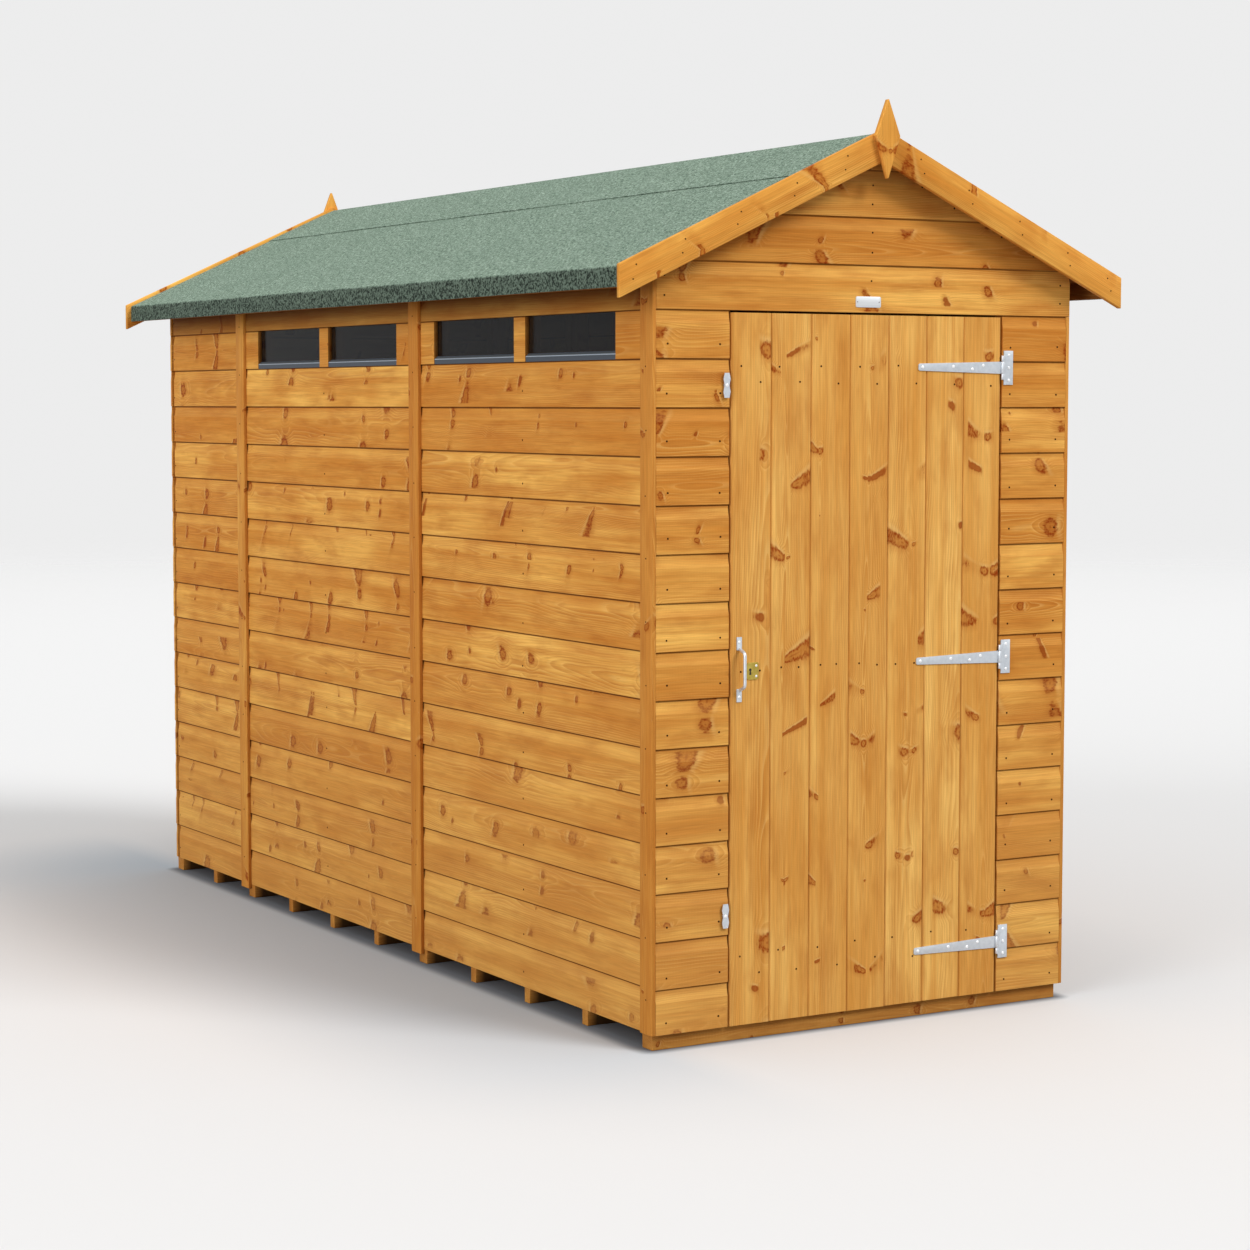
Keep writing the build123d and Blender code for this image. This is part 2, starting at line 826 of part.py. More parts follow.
# Turn buttons: waisted metal bars that pivot on a screw beside the door
def turn_button(height):
    half_length = turn_button_length / 2
    half_waist = turn_button_waist / 2
    half_lobe = turn_button_lobe / 2
    right = [
        (half_waist, half_length),
        (half_lobe, turn_button_lobe_place),
        (half_waist, 0),
        (half_lobe, -turn_button_lobe_place),
        (half_waist, -half_length),
    ]
    left = [(-across, up) for across, up in reversed(right)]
    outline = [(turn_button_centre_x + across, height + up) for across, up in right + left]
    boss_length = turn_button_rise - seat_gap
    boss = Cylinder(turn_button_boss_radius, boss_length)
    boss = Pos(turn_button_centre_x, front - seat_gap - boss_length / 2, height) * Rot(90, 0, 0) * boss
    bar_back = front - turn_button_rise
    return prism_along_y(outline, bar_back - turn_button_sheet, bar_back) + boss


save("lower_turn_button", [turn_button(turn_button_heights[0])])
save("upper_turn_button", [turn_button(turn_button_heights[1])])
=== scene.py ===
import math
import random

import bmesh
import bpy
import numpy as np
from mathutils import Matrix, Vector


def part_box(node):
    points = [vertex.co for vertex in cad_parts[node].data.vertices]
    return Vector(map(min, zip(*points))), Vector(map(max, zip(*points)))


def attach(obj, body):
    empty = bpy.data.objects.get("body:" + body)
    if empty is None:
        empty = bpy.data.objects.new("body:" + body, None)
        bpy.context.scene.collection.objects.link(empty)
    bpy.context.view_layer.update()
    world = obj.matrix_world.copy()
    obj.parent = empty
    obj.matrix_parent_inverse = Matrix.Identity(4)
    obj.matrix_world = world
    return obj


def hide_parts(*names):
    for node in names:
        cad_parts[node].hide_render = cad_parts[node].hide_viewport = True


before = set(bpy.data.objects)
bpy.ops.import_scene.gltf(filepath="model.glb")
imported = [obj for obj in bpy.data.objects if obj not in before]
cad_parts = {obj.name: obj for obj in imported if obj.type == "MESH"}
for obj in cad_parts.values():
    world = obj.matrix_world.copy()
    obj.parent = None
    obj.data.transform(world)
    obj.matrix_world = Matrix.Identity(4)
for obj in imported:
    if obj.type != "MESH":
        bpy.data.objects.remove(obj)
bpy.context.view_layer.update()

# Floor bearers. Sawn softwood, pressure treated and stained golden brown, laid flat on the ground
# across the shed. The floor and the walls stand on them.
RIGHT = Vector((1, 0, 0))
REAR = Vector((0, 1, 0))
UP = Vector((0, 0, 1))
ARRIS = 0.0012
dice = random.Random(31)


def srgb(red, green, blue):
    """A colour as it looks on a screen, 0 to 255, in the linear values that a shader takes."""
    shares = [part / 255 for part in (red, green, blue)]
    return [part / 12.92 if part <= 0.04045 else ((part + 0.055) / 1.055) ** 2.4 for part in shares] + [1.0]


def solids_in(mesh):
    """The separate solids of a mesh as arrays of vertex numbers. Vertices at one place count as one."""
    points = [tuple(round(value, 6) for value in vertex.co) for vertex in mesh.vertices]
    parent = {point: point for point in points}

    def top_of(point):
        while parent[point] != point:
            parent[point] = parent[parent[point]]
            point = parent[point]
        return point

    for face in mesh.polygons:
        first = top_of(points[face.vertices[0]])
        for number in face.vertices[1:]:
            parent[top_of(points[number])] = first
    groups = {}
    for number, point in enumerate(points):
        groups.setdefault(top_of(point), []).append(number)
    return [np.array(groups[key]) for key in sorted(groups)]


def tree_places(points, along, across):
    """Where the points of one piece of timber lie in the tree that it was sawn from.

    The first result runs along, across and through the piece and is shifted by chance, so that no
    two pieces look alike. The second is measured from the heart of the tree.
    """
    through = along.cross(across)
    axes = np.array([along, across, through])
    inside = points @ axes.T
    middle = (inside.max(0) + inside.min(0)) / 2
    shift = np.array([dice.uniform(5, 45), dice.uniform(2, 20), dice.uniform(2, 20)])
    side = dice.choice([-1, 1])
    heart = np.array([0.0, dice.uniform(-0.05, 0.05), side * dice.uniform(0.004, 0.07)])
    return inside - middle + shift, inside - middle - heart


def write_places(mesh, places, hearts, tones):
    """Stores where each vertex lies in its tree, and how dark its piece of timber is."""
    for name, kind, values in (
        ("tree_place", "FLOAT_VECTOR", places),
        ("heart_place", "FLOAT_VECTOR", hearts),
        ("timber_tone", "FLOAT", tones),
    ):
        layer = mesh.attributes.new(name, kind, "POINT")
        field = "value" if kind == "FLOAT" else "vector"
        layer.data.foreach_set(field, np.asarray(values, np.float32).ravel())


class Nodes:
    """A node tree and short ways to add to it. A value is a number or another node's output."""

    def __init__(self, tree):
        self.tree = tree

    def fill(self, node, sockets):
        for key, value in sockets.items():
            if isinstance(value, bpy.types.NodeSocket):
                self.tree.links.new(value, node.inputs[key])
            else:
                node.inputs[key].default_value = value
        return node

    def add(self, kind, sockets, **settings):
        node = self.tree.nodes.new("ShaderNode" + kind)
        for name, value in settings.items():
            setattr(node, name, value)
        return self.fill(node, sockets)

    def sum(self, operation, *values, clamp=False):
        return self.add("Math", dict(enumerate(values)), operation=operation, use_clamp=clamp).outputs[0]

    def times(self, first, second, clamp=False):
        return self.sum("MULTIPLY", first, second, clamp=clamp)

    def minus(self, first, second, clamp=False):
        return self.sum("SUBTRACT", first, second, clamp=clamp)

    def over(self, first, second):
        return self.sum("DIVIDE", first, second)

    def larger(self, first, second):
        return self.sum("MAXIMUM", first, second)

    def scaled(self, value, factor, start):
        """The value times the factor, plus the start."""
        return self.sum("MULTIPLY_ADD", value, factor, start)

    def ramp(self, value, low, high, at_low=0.0, at_high=1.0, smooth="LINEAR"):
        """Goes from at_low to at_high while the value goes from low to high, and stays there."""
        sockets = {0: value, 1: low, 2: high, 3: at_low, 4: at_high}
        return self.add("MapRange", sockets, interpolation_type=smooth).outputs[0]

    def fade(self, distance, reach):
        """One at a distance of 0, falling smoothly to nothing at reach."""
        squared = self.sum("POWER", self.over(distance, reach), 2.0)
        return self.sum("POWER", self.minus(1.0, squared, clamp=True), 2.0)

    def vector(self, operation, *values):
        node = self.add("VectorMath", dict(enumerate(values)), operation=operation)
        return node.outputs["Value" if operation == "LENGTH" else "Vector"]

    def parts(self, vector):
        return self.add("SeparateXYZ", {0: vector}).outputs

    def spot(self):
        """The place in the piece's own metres."""
        return self.add("TexCoord", {}).outputs["Object"]

    def geometry(self, name):
        return self.add("NewGeometry", {}).outputs[name]

    def tint(self, share, under, over, blend="MIX"):
        """One colour laid over another by a share."""
        node = self.add("Mix", {0: share, 6: under, 7: over}, data_type="RGBA", blend_type=blend)
        return node.outputs[2]

    def noise(self, place, stretch, detail=2.0, roughness=0.5, coloured=False):
        """Noise, with its number of features in a metre, alike or for each direction."""
        stretch = stretch if isinstance(stretch, tuple) else (stretch,) * 3
        sockets = {"Vector": self.vector("MULTIPLY", place, stretch), "Scale": 1.0}
        node = self.add("TexNoise", {**sockets, "Detail": detail, "Roughness": roughness})
        return node.outputs["Color" if coloured else "Fac"]

    def bump(self, height, strength, distance):
        return self.add("Bump", {"Height": height, "Strength": strength, "Distance": distance}).outputs[0]


class Finish(Nodes):
    """A material of one Principled shader, with its node tree."""

    def __init__(self, name):
        self.material = bpy.data.materials.new(name)
        self.material.use_nodes = True
        super().__init__(self.material.node_tree)
        self.shader = self.tree.nodes["Principled BSDF"]

    def set(self, sockets):
        self.fill(self.shader, sockets)

    def paint(self, colour, *coats):
        """Sets the base colour. Each coat over it is a share and a colour."""
        for share, over in coats:
            colour = self.tint(share, colour, over)
        self.set({"Base Color": colour})

    def painted(self):
        """The base colour so far, for more coats over it."""
        return self.shader.inputs["Base Color"].links[0].from_socket


def chances(wood, first, second, seed):
    """Three numbers by chance between 0 and 1 for a pair of counts."""
    pair = wood.add("CombineXYZ", {0: first, 1: second, 2: seed}).outputs[0]
    thrown = wood.add("TexWhiteNoise", {"Vector": pair}, noise_dimensions="3D")
    return wood.add("SeparateColor", {0: thrown.outputs["Color"]}).outputs


def branches_in(wood, place, heart, apart, around, thickness, share, seed):
    """The branches that the trunk closed over, in rings of so many around it, so far apart.

    Gives the distance to the nearest branch in units of its radius, how far along the trunk the
    point lies from it in the same units, and how far a branch still grew there, from 0 to 1.
    """
    along = wood.parts(place)[0]
    spot = wood.parts(heart)
    radius = wood.vector("LENGTH", wood.vector("MULTIPLY", heart, (0, 1, 1)))
    cell = wood.over(wood.scaled(radius, -0.45, along), apart)
    ring = wood.sum("FLOOR", cell)
    luck = chances(wood, ring, 0.5, seed)
    middle = wood.scaled(luck[0], 0.5, 0.25)
    beside = wood.times(wood.minus(wood.minus(cell, ring), middle), apart)
    angle = wood.sum("ARCTAN2", spot[2], spot[1])
    turn = wood.scaled(angle, around / math.tau, wood.times(luck[1], around))
    number = wood.sum("FLOOR", turn)
    own = chances(wood, ring, wood.sum("FLOORED_MODULO", number, around), seed + 4.5)
    middle = wood.scaled(own[0], 0.4, 0.3)
    past = wood.minus(wood.minus(turn, number), middle)
    past = wood.times(wood.times(past, math.tau / around), radius)
    size = wood.sum("MINIMUM", wood.scaled(radius, thickness, 0.0035), 0.018)
    size = wood.times(size, wood.scaled(own[1], 0.9, 0.5))
    reach = wood.add("CombineXYZ", {0: beside, 1: past}).outputs[0]
    distance = wood.over(wood.vector("LENGTH", reach), size)
    broken = wood.scaled(luck[2], 0.055, wood.scaled(own[0], 0.03, 0.024))
    grown = wood.times(wood.minus(broken, radius), 260.0, clamp=True)
    there = wood.times(wood.sum("LESS_THAN", own[2], share), grown)
    return distance, wood.over(beside, size), there


def softwood(name, pale, deep, bark, ring_width=0.0042, ring_share=0.4, knot_share=0.72, sawn=0.15):
    """Softwood with growth rings, streaks and knots, which follow each piece's place in its tree.

    Pale is the clear wood, deep its darker streaks, and bark the rim round a knot.
    """
    wood = Finish(name)
    place = wood.add("Attribute", {}, attribute_name="tree_place").outputs["Vector"]
    heart = wood.add("Attribute", {}, attribute_name="heart_place").outputs["Vector"]
    tone = wood.add("Attribute", {}, attribute_name="timber_tone").outputs["Fac"]
    waver = wood.vector("SUBTRACT", wood.noise(place, (1.6, 7, 7), coloured=True), (0.5, 0.5, 0.5))
    bent = wood.vector("ADD", heart, wood.vector("MULTIPLY", waver, (0, 0.05, 0.05)))
    ragged = wood.minus(wood.noise(place, (55, 120, 120), detail=3.0), 0.5)

    large = branches_in(wood, place, bent, 0.23, 5.0, 0.17, knot_share, 3.1)
    small = branches_in(wood, place, bent, 0.33, 7.0, 0.06, knot_share * 0.4, 11.7)
    rims, insides, halos, curls, swells = [], [], [], [], []
    for distance, beside, there in (large, small):
        rough = wood.scaled(ragged, 1.5, distance)
        edge = wood.sum("ABSOLUTE", wood.minus(rough, 1.0))
        rims.append(wood.times(wood.fade(edge, 0.5), there))
        within = wood.times(wood.minus(1.25, rough), 2.4, clamp=True)
        insides.append(wood.times(within, there))
        halos.append(wood.times(wood.fade(wood.larger(rough, 0.0), 3.0), there))
        away = wood.sum("ABSOLUTE", wood.minus(beside, 1.7))
        curls.append(wood.times(wood.times(wood.fade(away, 0.9), wood.fade(distance, 2.8)), there))
        swells.append(wood.times(wood.fade(distance, 4.2), there))

    radius = wood.vector("LENGTH", wood.vector("MULTIPLY", bent, (0, 1, 1)))
    radius = wood.scaled(wood.parts(heart)[0], 0.012, radius)
    radius = wood.scaled(swells[0], -0.010, radius)
    radius = wood.scaled(swells[1], -0.004, radius)
    ring = wood.sum("FRACT", wood.over(radius, ring_width))
    strength = wood.ramp(wood.noise(place, (1.2, 16, 16), detail=1.0), 0.35, 0.7)
    late = wood.times(wood.ramp(ring, 0.3, 0.86, smooth="SMOOTHSTEP"), wood.ramp(ring, 0.9, 1.0, 1.0, 0.0))
    late = wood.times(late, strength)
    pale_line = wood.times(wood.fade(ring, 0.3), strength)

    streak = wood.ramp(wood.noise(place, (1.1, 30, 30), detail=3.0, roughness=0.6), 0.4, 0.66)
    blotch = wood.ramp(wood.noise(place, (3.0, 9, 9), detail=2.0), 0.36, 0.64)
    patch = wood.ramp(wood.noise(place, (7, 24, 24), detail=3.0), 0.5, 0.75)
    grain = wood.ramp(wood.noise(place, (4, 130, 130), detail=3.0), 0.42, 0.66)
    fibre = wood.noise(place, (12, 380, 380), detail=3.0, roughness=0.6)
    speckled = wood.ramp(wood.noise(place, (160, 240, 240), detail=2.0), 0.38, 0.62)
    planed = wood.sum("SINE", wood.times(wood.parts(place)[0], 1500.0))
    # Painted shade and light: every wood is darker towards the ground and a little lighter up high.
    height_shade = wood.ramp(wood.parts(wood.geometry("Position"))[2], 0.0, 1.7, -0.1, 0.03)

    amber = [0.6 * deep[part] + 0.4 * bark[part] for part in range(3)] + [1.0]
    light = [pale[part] + 0.35 * (1 - pale[part]) * (1.0, 0.8, 0.35)[part] for part in range(3)] + [1.0]
    rim = wood.times(rims[0], wood.scaled(speckled, 0.5, 0.45), clamp=True)
    pith = wood.times(wood.fade(large[0], 0.3), large[2])
    wood.paint(
        pale,
        (wood.times(blotch, 0.6), deep),
        (wood.times(tone, 0.7), deep),
        (wood.times(streak, 0.6), deep),
        (wood.times(patch, 0.48), amber),
        (wood.times(grain, 0.26), amber),
        (wood.times(late, ring_share), amber),
        (wood.times(pale_line, ring_share * 0.5), light),
        (wood.times(wood.larger(halos[0], halos[1]), 0.7), amber),
        (wood.times(wood.larger(curls[0], curls[1]), 0.6), light),
        (wood.times(insides[0], wood.scaled(speckled, 0.45, 0.15)), amber),
        (wood.times(insides[1], 0.6), bark),
        (wood.larger(rim, wood.times(rims[1], 0.45)), bark),
        (wood.times(pith, 0.5), bark),
    )
    lift = wood.scaled(planed, 0.014, wood.scaled(fibre, 0.5, 0.78))
    lift = wood.sum("ADD", lift, height_shade)
    lift = wood.add("CombineColor", {0: lift, 1: lift, 2: lift}).outputs[0]
    relief = wood.scaled(fibre, 0.6, wood.times(late, 0.5))
    relief = wood.scaled(insides[0], 0.5, relief)
    relief = wood.scaled(planed, 0.12, relief)
    wood.set({
        "Base Color": wood.tint(1.0, wood.painted(), lift, "MULTIPLY"),
        "Roughness": wood.ramp(late, 0.0, 1.0, 0.6, 0.46),
        "Specular IOR Level": 0.04,
        "Normal": wood.bump(relief, sawn, 0.0012),
    })
    return wood


def dress(name, finish, arris=ARRIS):
    """Gives a CAD node its finish and takes the sharpness off its edges, as a plane or a press does."""
    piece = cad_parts[name]
    piece.data.materials.clear()
    piece.data.materials.append(finish.material)
    if arris:
        weld = piece.modifiers.new("welded", "WELD")
        weld.merge_threshold = 0.00002
        edges = piece.modifiers.new("arris", "BEVEL")
        edges.width = arris
        edges.segments = 2
        edges.limit_method = "ANGLE"
        edges.angle_limit = math.radians(35)
        edges.harden_normals = True
        piece.data.shade_smooth()
        piece.data.set_sharp_from_angle(angle=math.radians(34))
    else:
        piece.data.shade_flat()


def dress_timber(names, finish, along, across, arris=ARRIS):
    """Dresses CAD nodes in wood, with each solid at its own place in a tree.

    The direction along may depend on the solid's middle.
    """
    for name in names:
        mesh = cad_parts[name].data
        points = np.array([vertex.co for vertex in mesh.vertices])
        places, hearts, tones = np.zeros((len(points), 3)), np.zeros((len(points), 3)), np.zeros(len(points))
        for solid in solids_in(mesh):
            run = along(Vector(points[solid].mean(0))) if callable(along) else along
            places[solid], hearts[solid] = tree_places(points[solid], run, across)
            tones[solid] = dice.random()
        write_places(mesh, places, hearts, tones)
        dress(name, finish, arris)


treated = softwood(
    "treated_bearer_wood", srgb(212, 156, 78), srgb(168, 106, 44), srgb(122, 52, 14), sawn=0.5
)
from_middle = treated.parts(treated.vector("ABSOLUTE", treated.geometry("Position")))
# Painted shade on the bearers under the shed, inside the line of the walls.
shade_under_shed = treated.ramp(from_middle[0], 0.572, 0.598, 0.93, 0.0)
shade_under_shed = treated.times(shade_under_shed, treated.sum("LESS_THAN", from_middle[1], 1.49))
treated.paint(treated.painted(), (shade_under_shed, srgb(52, 36, 22)))
dress_timber(["floor_bearers"], treated, RIGHT, REAR)

# Floor boards. Planed softwood boards nailed down over the bearers, in three lengths that meet
# over the wide bearers, with a hairline joint between neighbours.
def new_object(name, shape, finish):
    """A bmesh as an object of its own."""
    mesh = bpy.data.meshes.new(name)
    shape.to_mesh(mesh)
    shape.free()
    mesh.materials.append(finish.material)
    made = bpy.data.objects.new(name, mesh)
    bpy.context.scene.collection.objects.link(made)
    return made


def new_piece(name, shape, finish, body, nodes=(), crease=None):
    """A bmesh as a piece that rides on a body and may stand for CAD nodes.

    Edges that turn by more than crease, in degrees, stay sharp. Without it the faces are flat.
    """
    bmesh.ops.recalc_face_normals(shape, faces=shape.faces[:])
    made = new_object(name, shape, finish)
    if crease:
        made.data.shade_smooth()
        made.data.set_sharp_from_angle(angle=math.radians(crease))
    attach(made, body)
    if nodes:
        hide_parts(*nodes)
    return made


class Boards:
    """Boards gathered into one mesh, each with its own place in a tree."""

    def __init__(self):
        self.points, self.faces = [], []
        self.places, self.hearts, self.tones = [], [], []

    def add(self, outline, corner, along, across, through, length, bays=4, waver=0.0):
        """One board, whose outline of across and through is drawn from the corner along its length."""
        first, sides = len(self.points), len(outline)
        for bay in range(bays + 1):
            sway = (across * dice.uniform(-1, 1) + through * dice.uniform(-1, 1)) * waver
            middle = corner + along * (length * bay / bays) + sway
            self.points += [middle + across * width + through * depth for width, depth in outline]
        places, hearts = tree_places(np.array(self.points[first:]), along, across)
        self.places += list(places)
        self.hearts += list(hearts)
        self.tones += [dice.random()] * len(places)
        self.faces.append([first + side for side in range(sides)])
        self.faces.append([first + bays * sides + side for side in reversed(range(sides))])
        for bay in range(bays):
            low = first + bay * sides
            for side in range(sides):
                after = (side + 1) % sides
                self.faces.append([low + side, low + sides + side, low + sides + after, low + after])

    def piece(self, name, finish, slot, body, nodes, cuts=()):
        """The boards as one piece that stands for CAD nodes. Nothing is left beyond a cut's plane."""
        mesh = bpy.data.meshes.new("uncut_boards")
        mesh.from_pydata([tuple(point) for point in self.points], [], self.faces)
        write_places(mesh, self.places, self.hearts, self.tones)
        shape = bmesh.new()
        shape.from_mesh(mesh)
        bpy.data.meshes.remove(mesh)
        for point, outward in cuts:
            geom = shape.verts[:] + shape.edges[:] + shape.faces[:]
            bmesh.ops.bisect_plane(shape, geom=geom, plane_co=point, plane_no=outward, clear_outer=True)
            bmesh.ops.holes_fill(shape, edges=[edge for edge in shape.edges if edge.is_boundary], sides=0)
        return new_piece(name, shape, finish, body, nodes, crease=14)


def eased(width, depth, ease):
    """A rectangular section with its four corners eased, in pairs of across and through."""
    return [
        (0, ease), (ease, 0), (width - ease, 0), (width, ease),
        (width, depth - ease), (width - ease, depth), (ease, depth), (0, depth - ease),
    ]


FLOOR_BOARD = 0.098
FLOOR_GAP = 0.0006
FLOOR_EASE = 0.0007
PANEL_LENGTH = 1.2
floor_wood = softwood("floor_wood", srgb(230, 184, 116), srgb(204, 148, 80), srgb(134, 74, 32))
floor_low, floor_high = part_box("floor_deck")
rear_joint = round(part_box("left_boards_rear_panel")[0].y, 4)
panel_joints = [rear_joint - PANEL_LENGTH, rear_joint]
floor_count = round((floor_high.x - floor_low.x) / FLOOR_BOARD)
floor_pitch = (floor_high.x - floor_low.x) / floor_count
floor_section = eased(floor_pitch - FLOOR_GAP, floor_high.z - floor_low.z, FLOOR_EASE)
floor = Boards()
floor_joints = [floor_low.y, *panel_joints, floor_high.y]
for start, end in zip(floor_joints, floor_joints[1:]):
    for number in range(floor_count):
        corner = Vector((floor_low.x + floor_pitch * number, start, floor_low.z))
        floor.add(floor_section, corner, REAR, RIGHT, UP, end - start - FLOOR_GAP, bays=3)
floor.piece("floor_boards", floor_wood, "floor_boards", "shed", ["floor_deck"])

# Wall frames. Sawn softwood studs, rails and posts behind the boards, nailed together into
# panels on the bench. They show inside, through the door.
frame_wood = softwood("frame_wood", srgb(222, 164, 84), srgb(184, 118, 50), srgb(116, 54, 20), sawn=0.45)
slope = math.radians(24.75)


def down_the_slope(middle):
    """Along a piece that follows the roof, down from the ridge on its own side."""
    return Vector((math.copysign(math.cos(slope), middle.x), 0, -math.sin(slope)))


dress_timber(["front_posts", "rear_posts", "left_studs", "right_studs"], frame_wood, UP, REAR)
dress_timber(["front_rails", "rear_rails"], frame_wood, RIGHT, UP)
dress_timber(["left_rails", "right_rails"], frame_wood, REAR, UP)
dress_timber(["front_gable_rails", "rear_gable_rails"], frame_wood, down_the_slope, REAR)

# Wall boards. Planed softwood shiplap: the scooped upper edge of each board runs up behind the
# lower edge of the next. Dipped to a golden brown and nailed on. Painted into the colour: shade in
# the laps, under the eaves and in the window reveals, and a highlight in each scoop.
BOTTOM_COVER = 0.107
JOINTS_BELOW_HEAD = 15
SCOOP_HEIGHT = 0.031
SCOOP_DEPTH = 0.0045
SCOOP_STEPS = 5
LAP = 0.008
LAP_GAP = 0.0011
BOARD_BACK = 0.0117
EDGE_EASE = 0.0008
BAY_LENGTH = 0.3
siding = softwood("wall_wood", srgb(245, 189, 96), srgb(193, 118, 42), srgb(134, 46, 4))
boards_bottom, head_height = [corner.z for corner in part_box("front_boards_left")]
cover = (head_height - boards_bottom - BOTTOM_COVER) / (JOINTS_BELOW_HEAD - 1)
rise = siding.parts(siding.spot())[2]
course = siding.over(siding.minus(rise, boards_bottom + BOTTOM_COVER), cover)
course = siding.sum("FRACT", course)
from_middle = siding.parts(siding.vector("ABSOLUTE", siding.geometry("Position")))
past_corner = siding.sum("GREATER_THAN", from_middle[0], 0.58)
on_side = siding.times(past_corner, siding.sum("LESS_THAN", from_middle[1], 1.51))
# Painted shade under the lip of each board and along its lower edge, stronger on the side walls.
lip_shade = siding.ramp(course, 0.004, 0.014, 0.6, 0.0)
lap_shade = siding.larger(siding.ramp(course, 0.966, 0.984, smooth="SMOOTHSTEP"), lip_shade)
# Painted shadow of the eaves across the top of the side walls.
eave_shadow = siding.times(siding.sum("GREATER_THAN", rise, head_height), on_side)
# Painted highlight along the scoop of each board, strongest low in it.
cove_highlight = siding.ramp(course, 0.70, 0.73, 0.0, 0.08)
cove_highlight = siding.times(cove_highlight, siding.ramp(course, 0.86, 0.96, 1.0, 0.0))
# Painted shade on the board ends that face front or back on the side walls, as in the window reveals.
end_face_shade = siding.parts(siding.vector("ABSOLUTE", siding.geometry("True Normal")))[1]
end_face_shade = siding.sum("GREATER_THAN", end_face_shade, 0.8)
end_face_shade = siding.times(end_face_shade, siding.sum("LESS_THAN", from_middle[1], 1.5))
siding.paint(
    siding.painted(),
    (siding.ramp(rise, 0.05, 0.9, 0.2, 0.0), srgb(216, 176, 104)),
    (siding.times(lap_shade, siding.scaled(on_side, 0.28, 0.62)), srgb(88, 44, 12)),
    (siding.times(siding.ramp(rise, 1.72, 1.795, 0.2, 0.92), eave_shadow), srgb(100, 47, 10)),
    (cove_highlight, srgb(250, 205, 118)),
    (siding.times(end_face_shade, 0.7), srgb(104, 60, 22)),
)
roof_low, roof_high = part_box("left_roof_boards")
roof_planes = []
for side in (-1, 1):
    at_eave = Vector((-side * roof_low.x, 0, roof_low.z - 0.0003))
    roof_planes.append((at_eave, Vector((side * math.sin(slope), 0, math.cos(slope)))))


def board_joint(number):
    """Height of the joint under a course of boards. The lowest course has number 0."""
    return boards_bottom if number == 0 else boards_bottom + BOTTOM_COVER + (number - 1) * cover


def lap_outline(height, lapped_below, lapped_above):
    """The section of one board, in pairs of up and inwards."""
    bend = (SCOOP_HEIGHT**2 + SCOOP_DEPTH**2) / (2 * SCOOP_DEPTH)
    steep = math.asin(SCOOP_HEIGHT / bend)
    low = LAP_GAP if lapped_below else 0.0
    outline = [(low, EDGE_EASE), (low + EDGE_EASE, 0)]
    for step in range(SCOOP_STEPS + 1):
        angle = steep * (1 - step / SCOOP_STEPS)
        outline.append((height - bend * math.sin(angle), SCOOP_DEPTH - bend * (1 - math.cos(angle))))
    top = height + LAP if lapped_above else height
    if lapped_above:
        outline.append((top, SCOOP_DEPTH + 0.0002))
    outline.append((top, BOARD_BACK))
    if lapped_below:
        groove = SCOOP_DEPTH - 0.0004
        outline += [(LAP + 0.001, BOARD_BACK), (LAP + 0.001, groove), (low, groove)]
    else:
        outline.append((low, BOARD_BACK))
    return outline


def lay_courses(node, face, inwards, along):
    """Courses of boards over every solid of a wall node, and the solids' own ends left as they are."""
    courses = Boards()
    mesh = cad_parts[node].data
    points = np.array([vertex.co for vertex in mesh.vertices])
    for solid in solids_in(mesh):
        low, high = Vector(points[solid].min(0)), Vector(points[solid].max(0))
        number = 0
        while board_joint(number) < high.z - 0.001:
            bottom, top = board_joint(number), board_joint(number + 1)
            number += 1
            if top < low.z + 0.001:
                continue
            outline = lap_outline(top - bottom, bottom > low.z + 0.001, top < high.z - 0.001)
            shy = dice.uniform(0, 0.0006)
            corner = face + along * (low.dot(along) + shy) + UP * bottom
            length = (high - low).dot(along) - 2 * shy
            bays = max(1, round(length / BAY_LENGTH))
            courses.add(outline, corner, along, UP, inwards, length, bays=bays, waver=0.0002)
    return courses


front_face = Vector((0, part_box("front_boards_left")[0].y, 0))
rear_face = Vector((0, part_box("rear_boards")[1].y, 0))
left_face = Vector((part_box("left_boards_rear_panel")[0].x, 0, 0))
right_face = Vector((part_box("right_boards")[1].x, 0, 0))
for node, face, inwards, along in (
    ("front_boards_left", front_face, REAR, RIGHT),
    ("front_boards_right", front_face, REAR, RIGHT),
    ("front_gable_boards", front_face, REAR, RIGHT),
    ("rear_boards", rear_face, -REAR, RIGHT),
    ("left_boards_below_windows", left_face, RIGHT, REAR),
    ("left_boards_above_windows", left_face, RIGHT, REAR),
    ("left_boards_rear_panel", left_face, RIGHT, REAR),
    ("right_boards", right_face, -RIGHT, REAR),
):
    courses = lay_courses(node, face, inwards, along)
    courses.piece(node + "_laid", siding, "wall_boards", "shed", [node], roof_planes)
dress_timber(["left_boards_beside_windows"], siding, REAR, UP, arris=0.001)

# Windows. Four panes behind the boards of the left wall, held from inside by softwood beads. A grey
# strip along the foot of each opening sheds the rain.
STRIP_FACE = 0.0009
STRIP_HEIGHT = 0.0138
STRIP_BACK_HEIGHT = 0.0205
STRIP_END_GAP = 0.0004
glass = Finish("window_glass")
smears = glass.noise(glass.spot(), (14, 9, 22), detail=3.0)
glass.paint(srgb(24, 24, 25), (smears, srgb(32, 32, 33)))
glass.set({
    "Roughness": glass.ramp(smears, 0.0, 1.0, 0.05, 0.12),
    "IOR": 1.45,
    "Specular IOR Level": 0.12,
    "Alpha": 0.5,
})
dress("window_panes", glass, arris=0)
dress_timber(["window_beads"], frame_wood, REAR, UP, arris=0.0008)
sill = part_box("left_boards_below_windows")[1].z + 0.0002
grey = Finish("foot_strip_grey")
uneven_tone = grey.noise(grey.spot(), (260, 9, 260), detail=3.0)
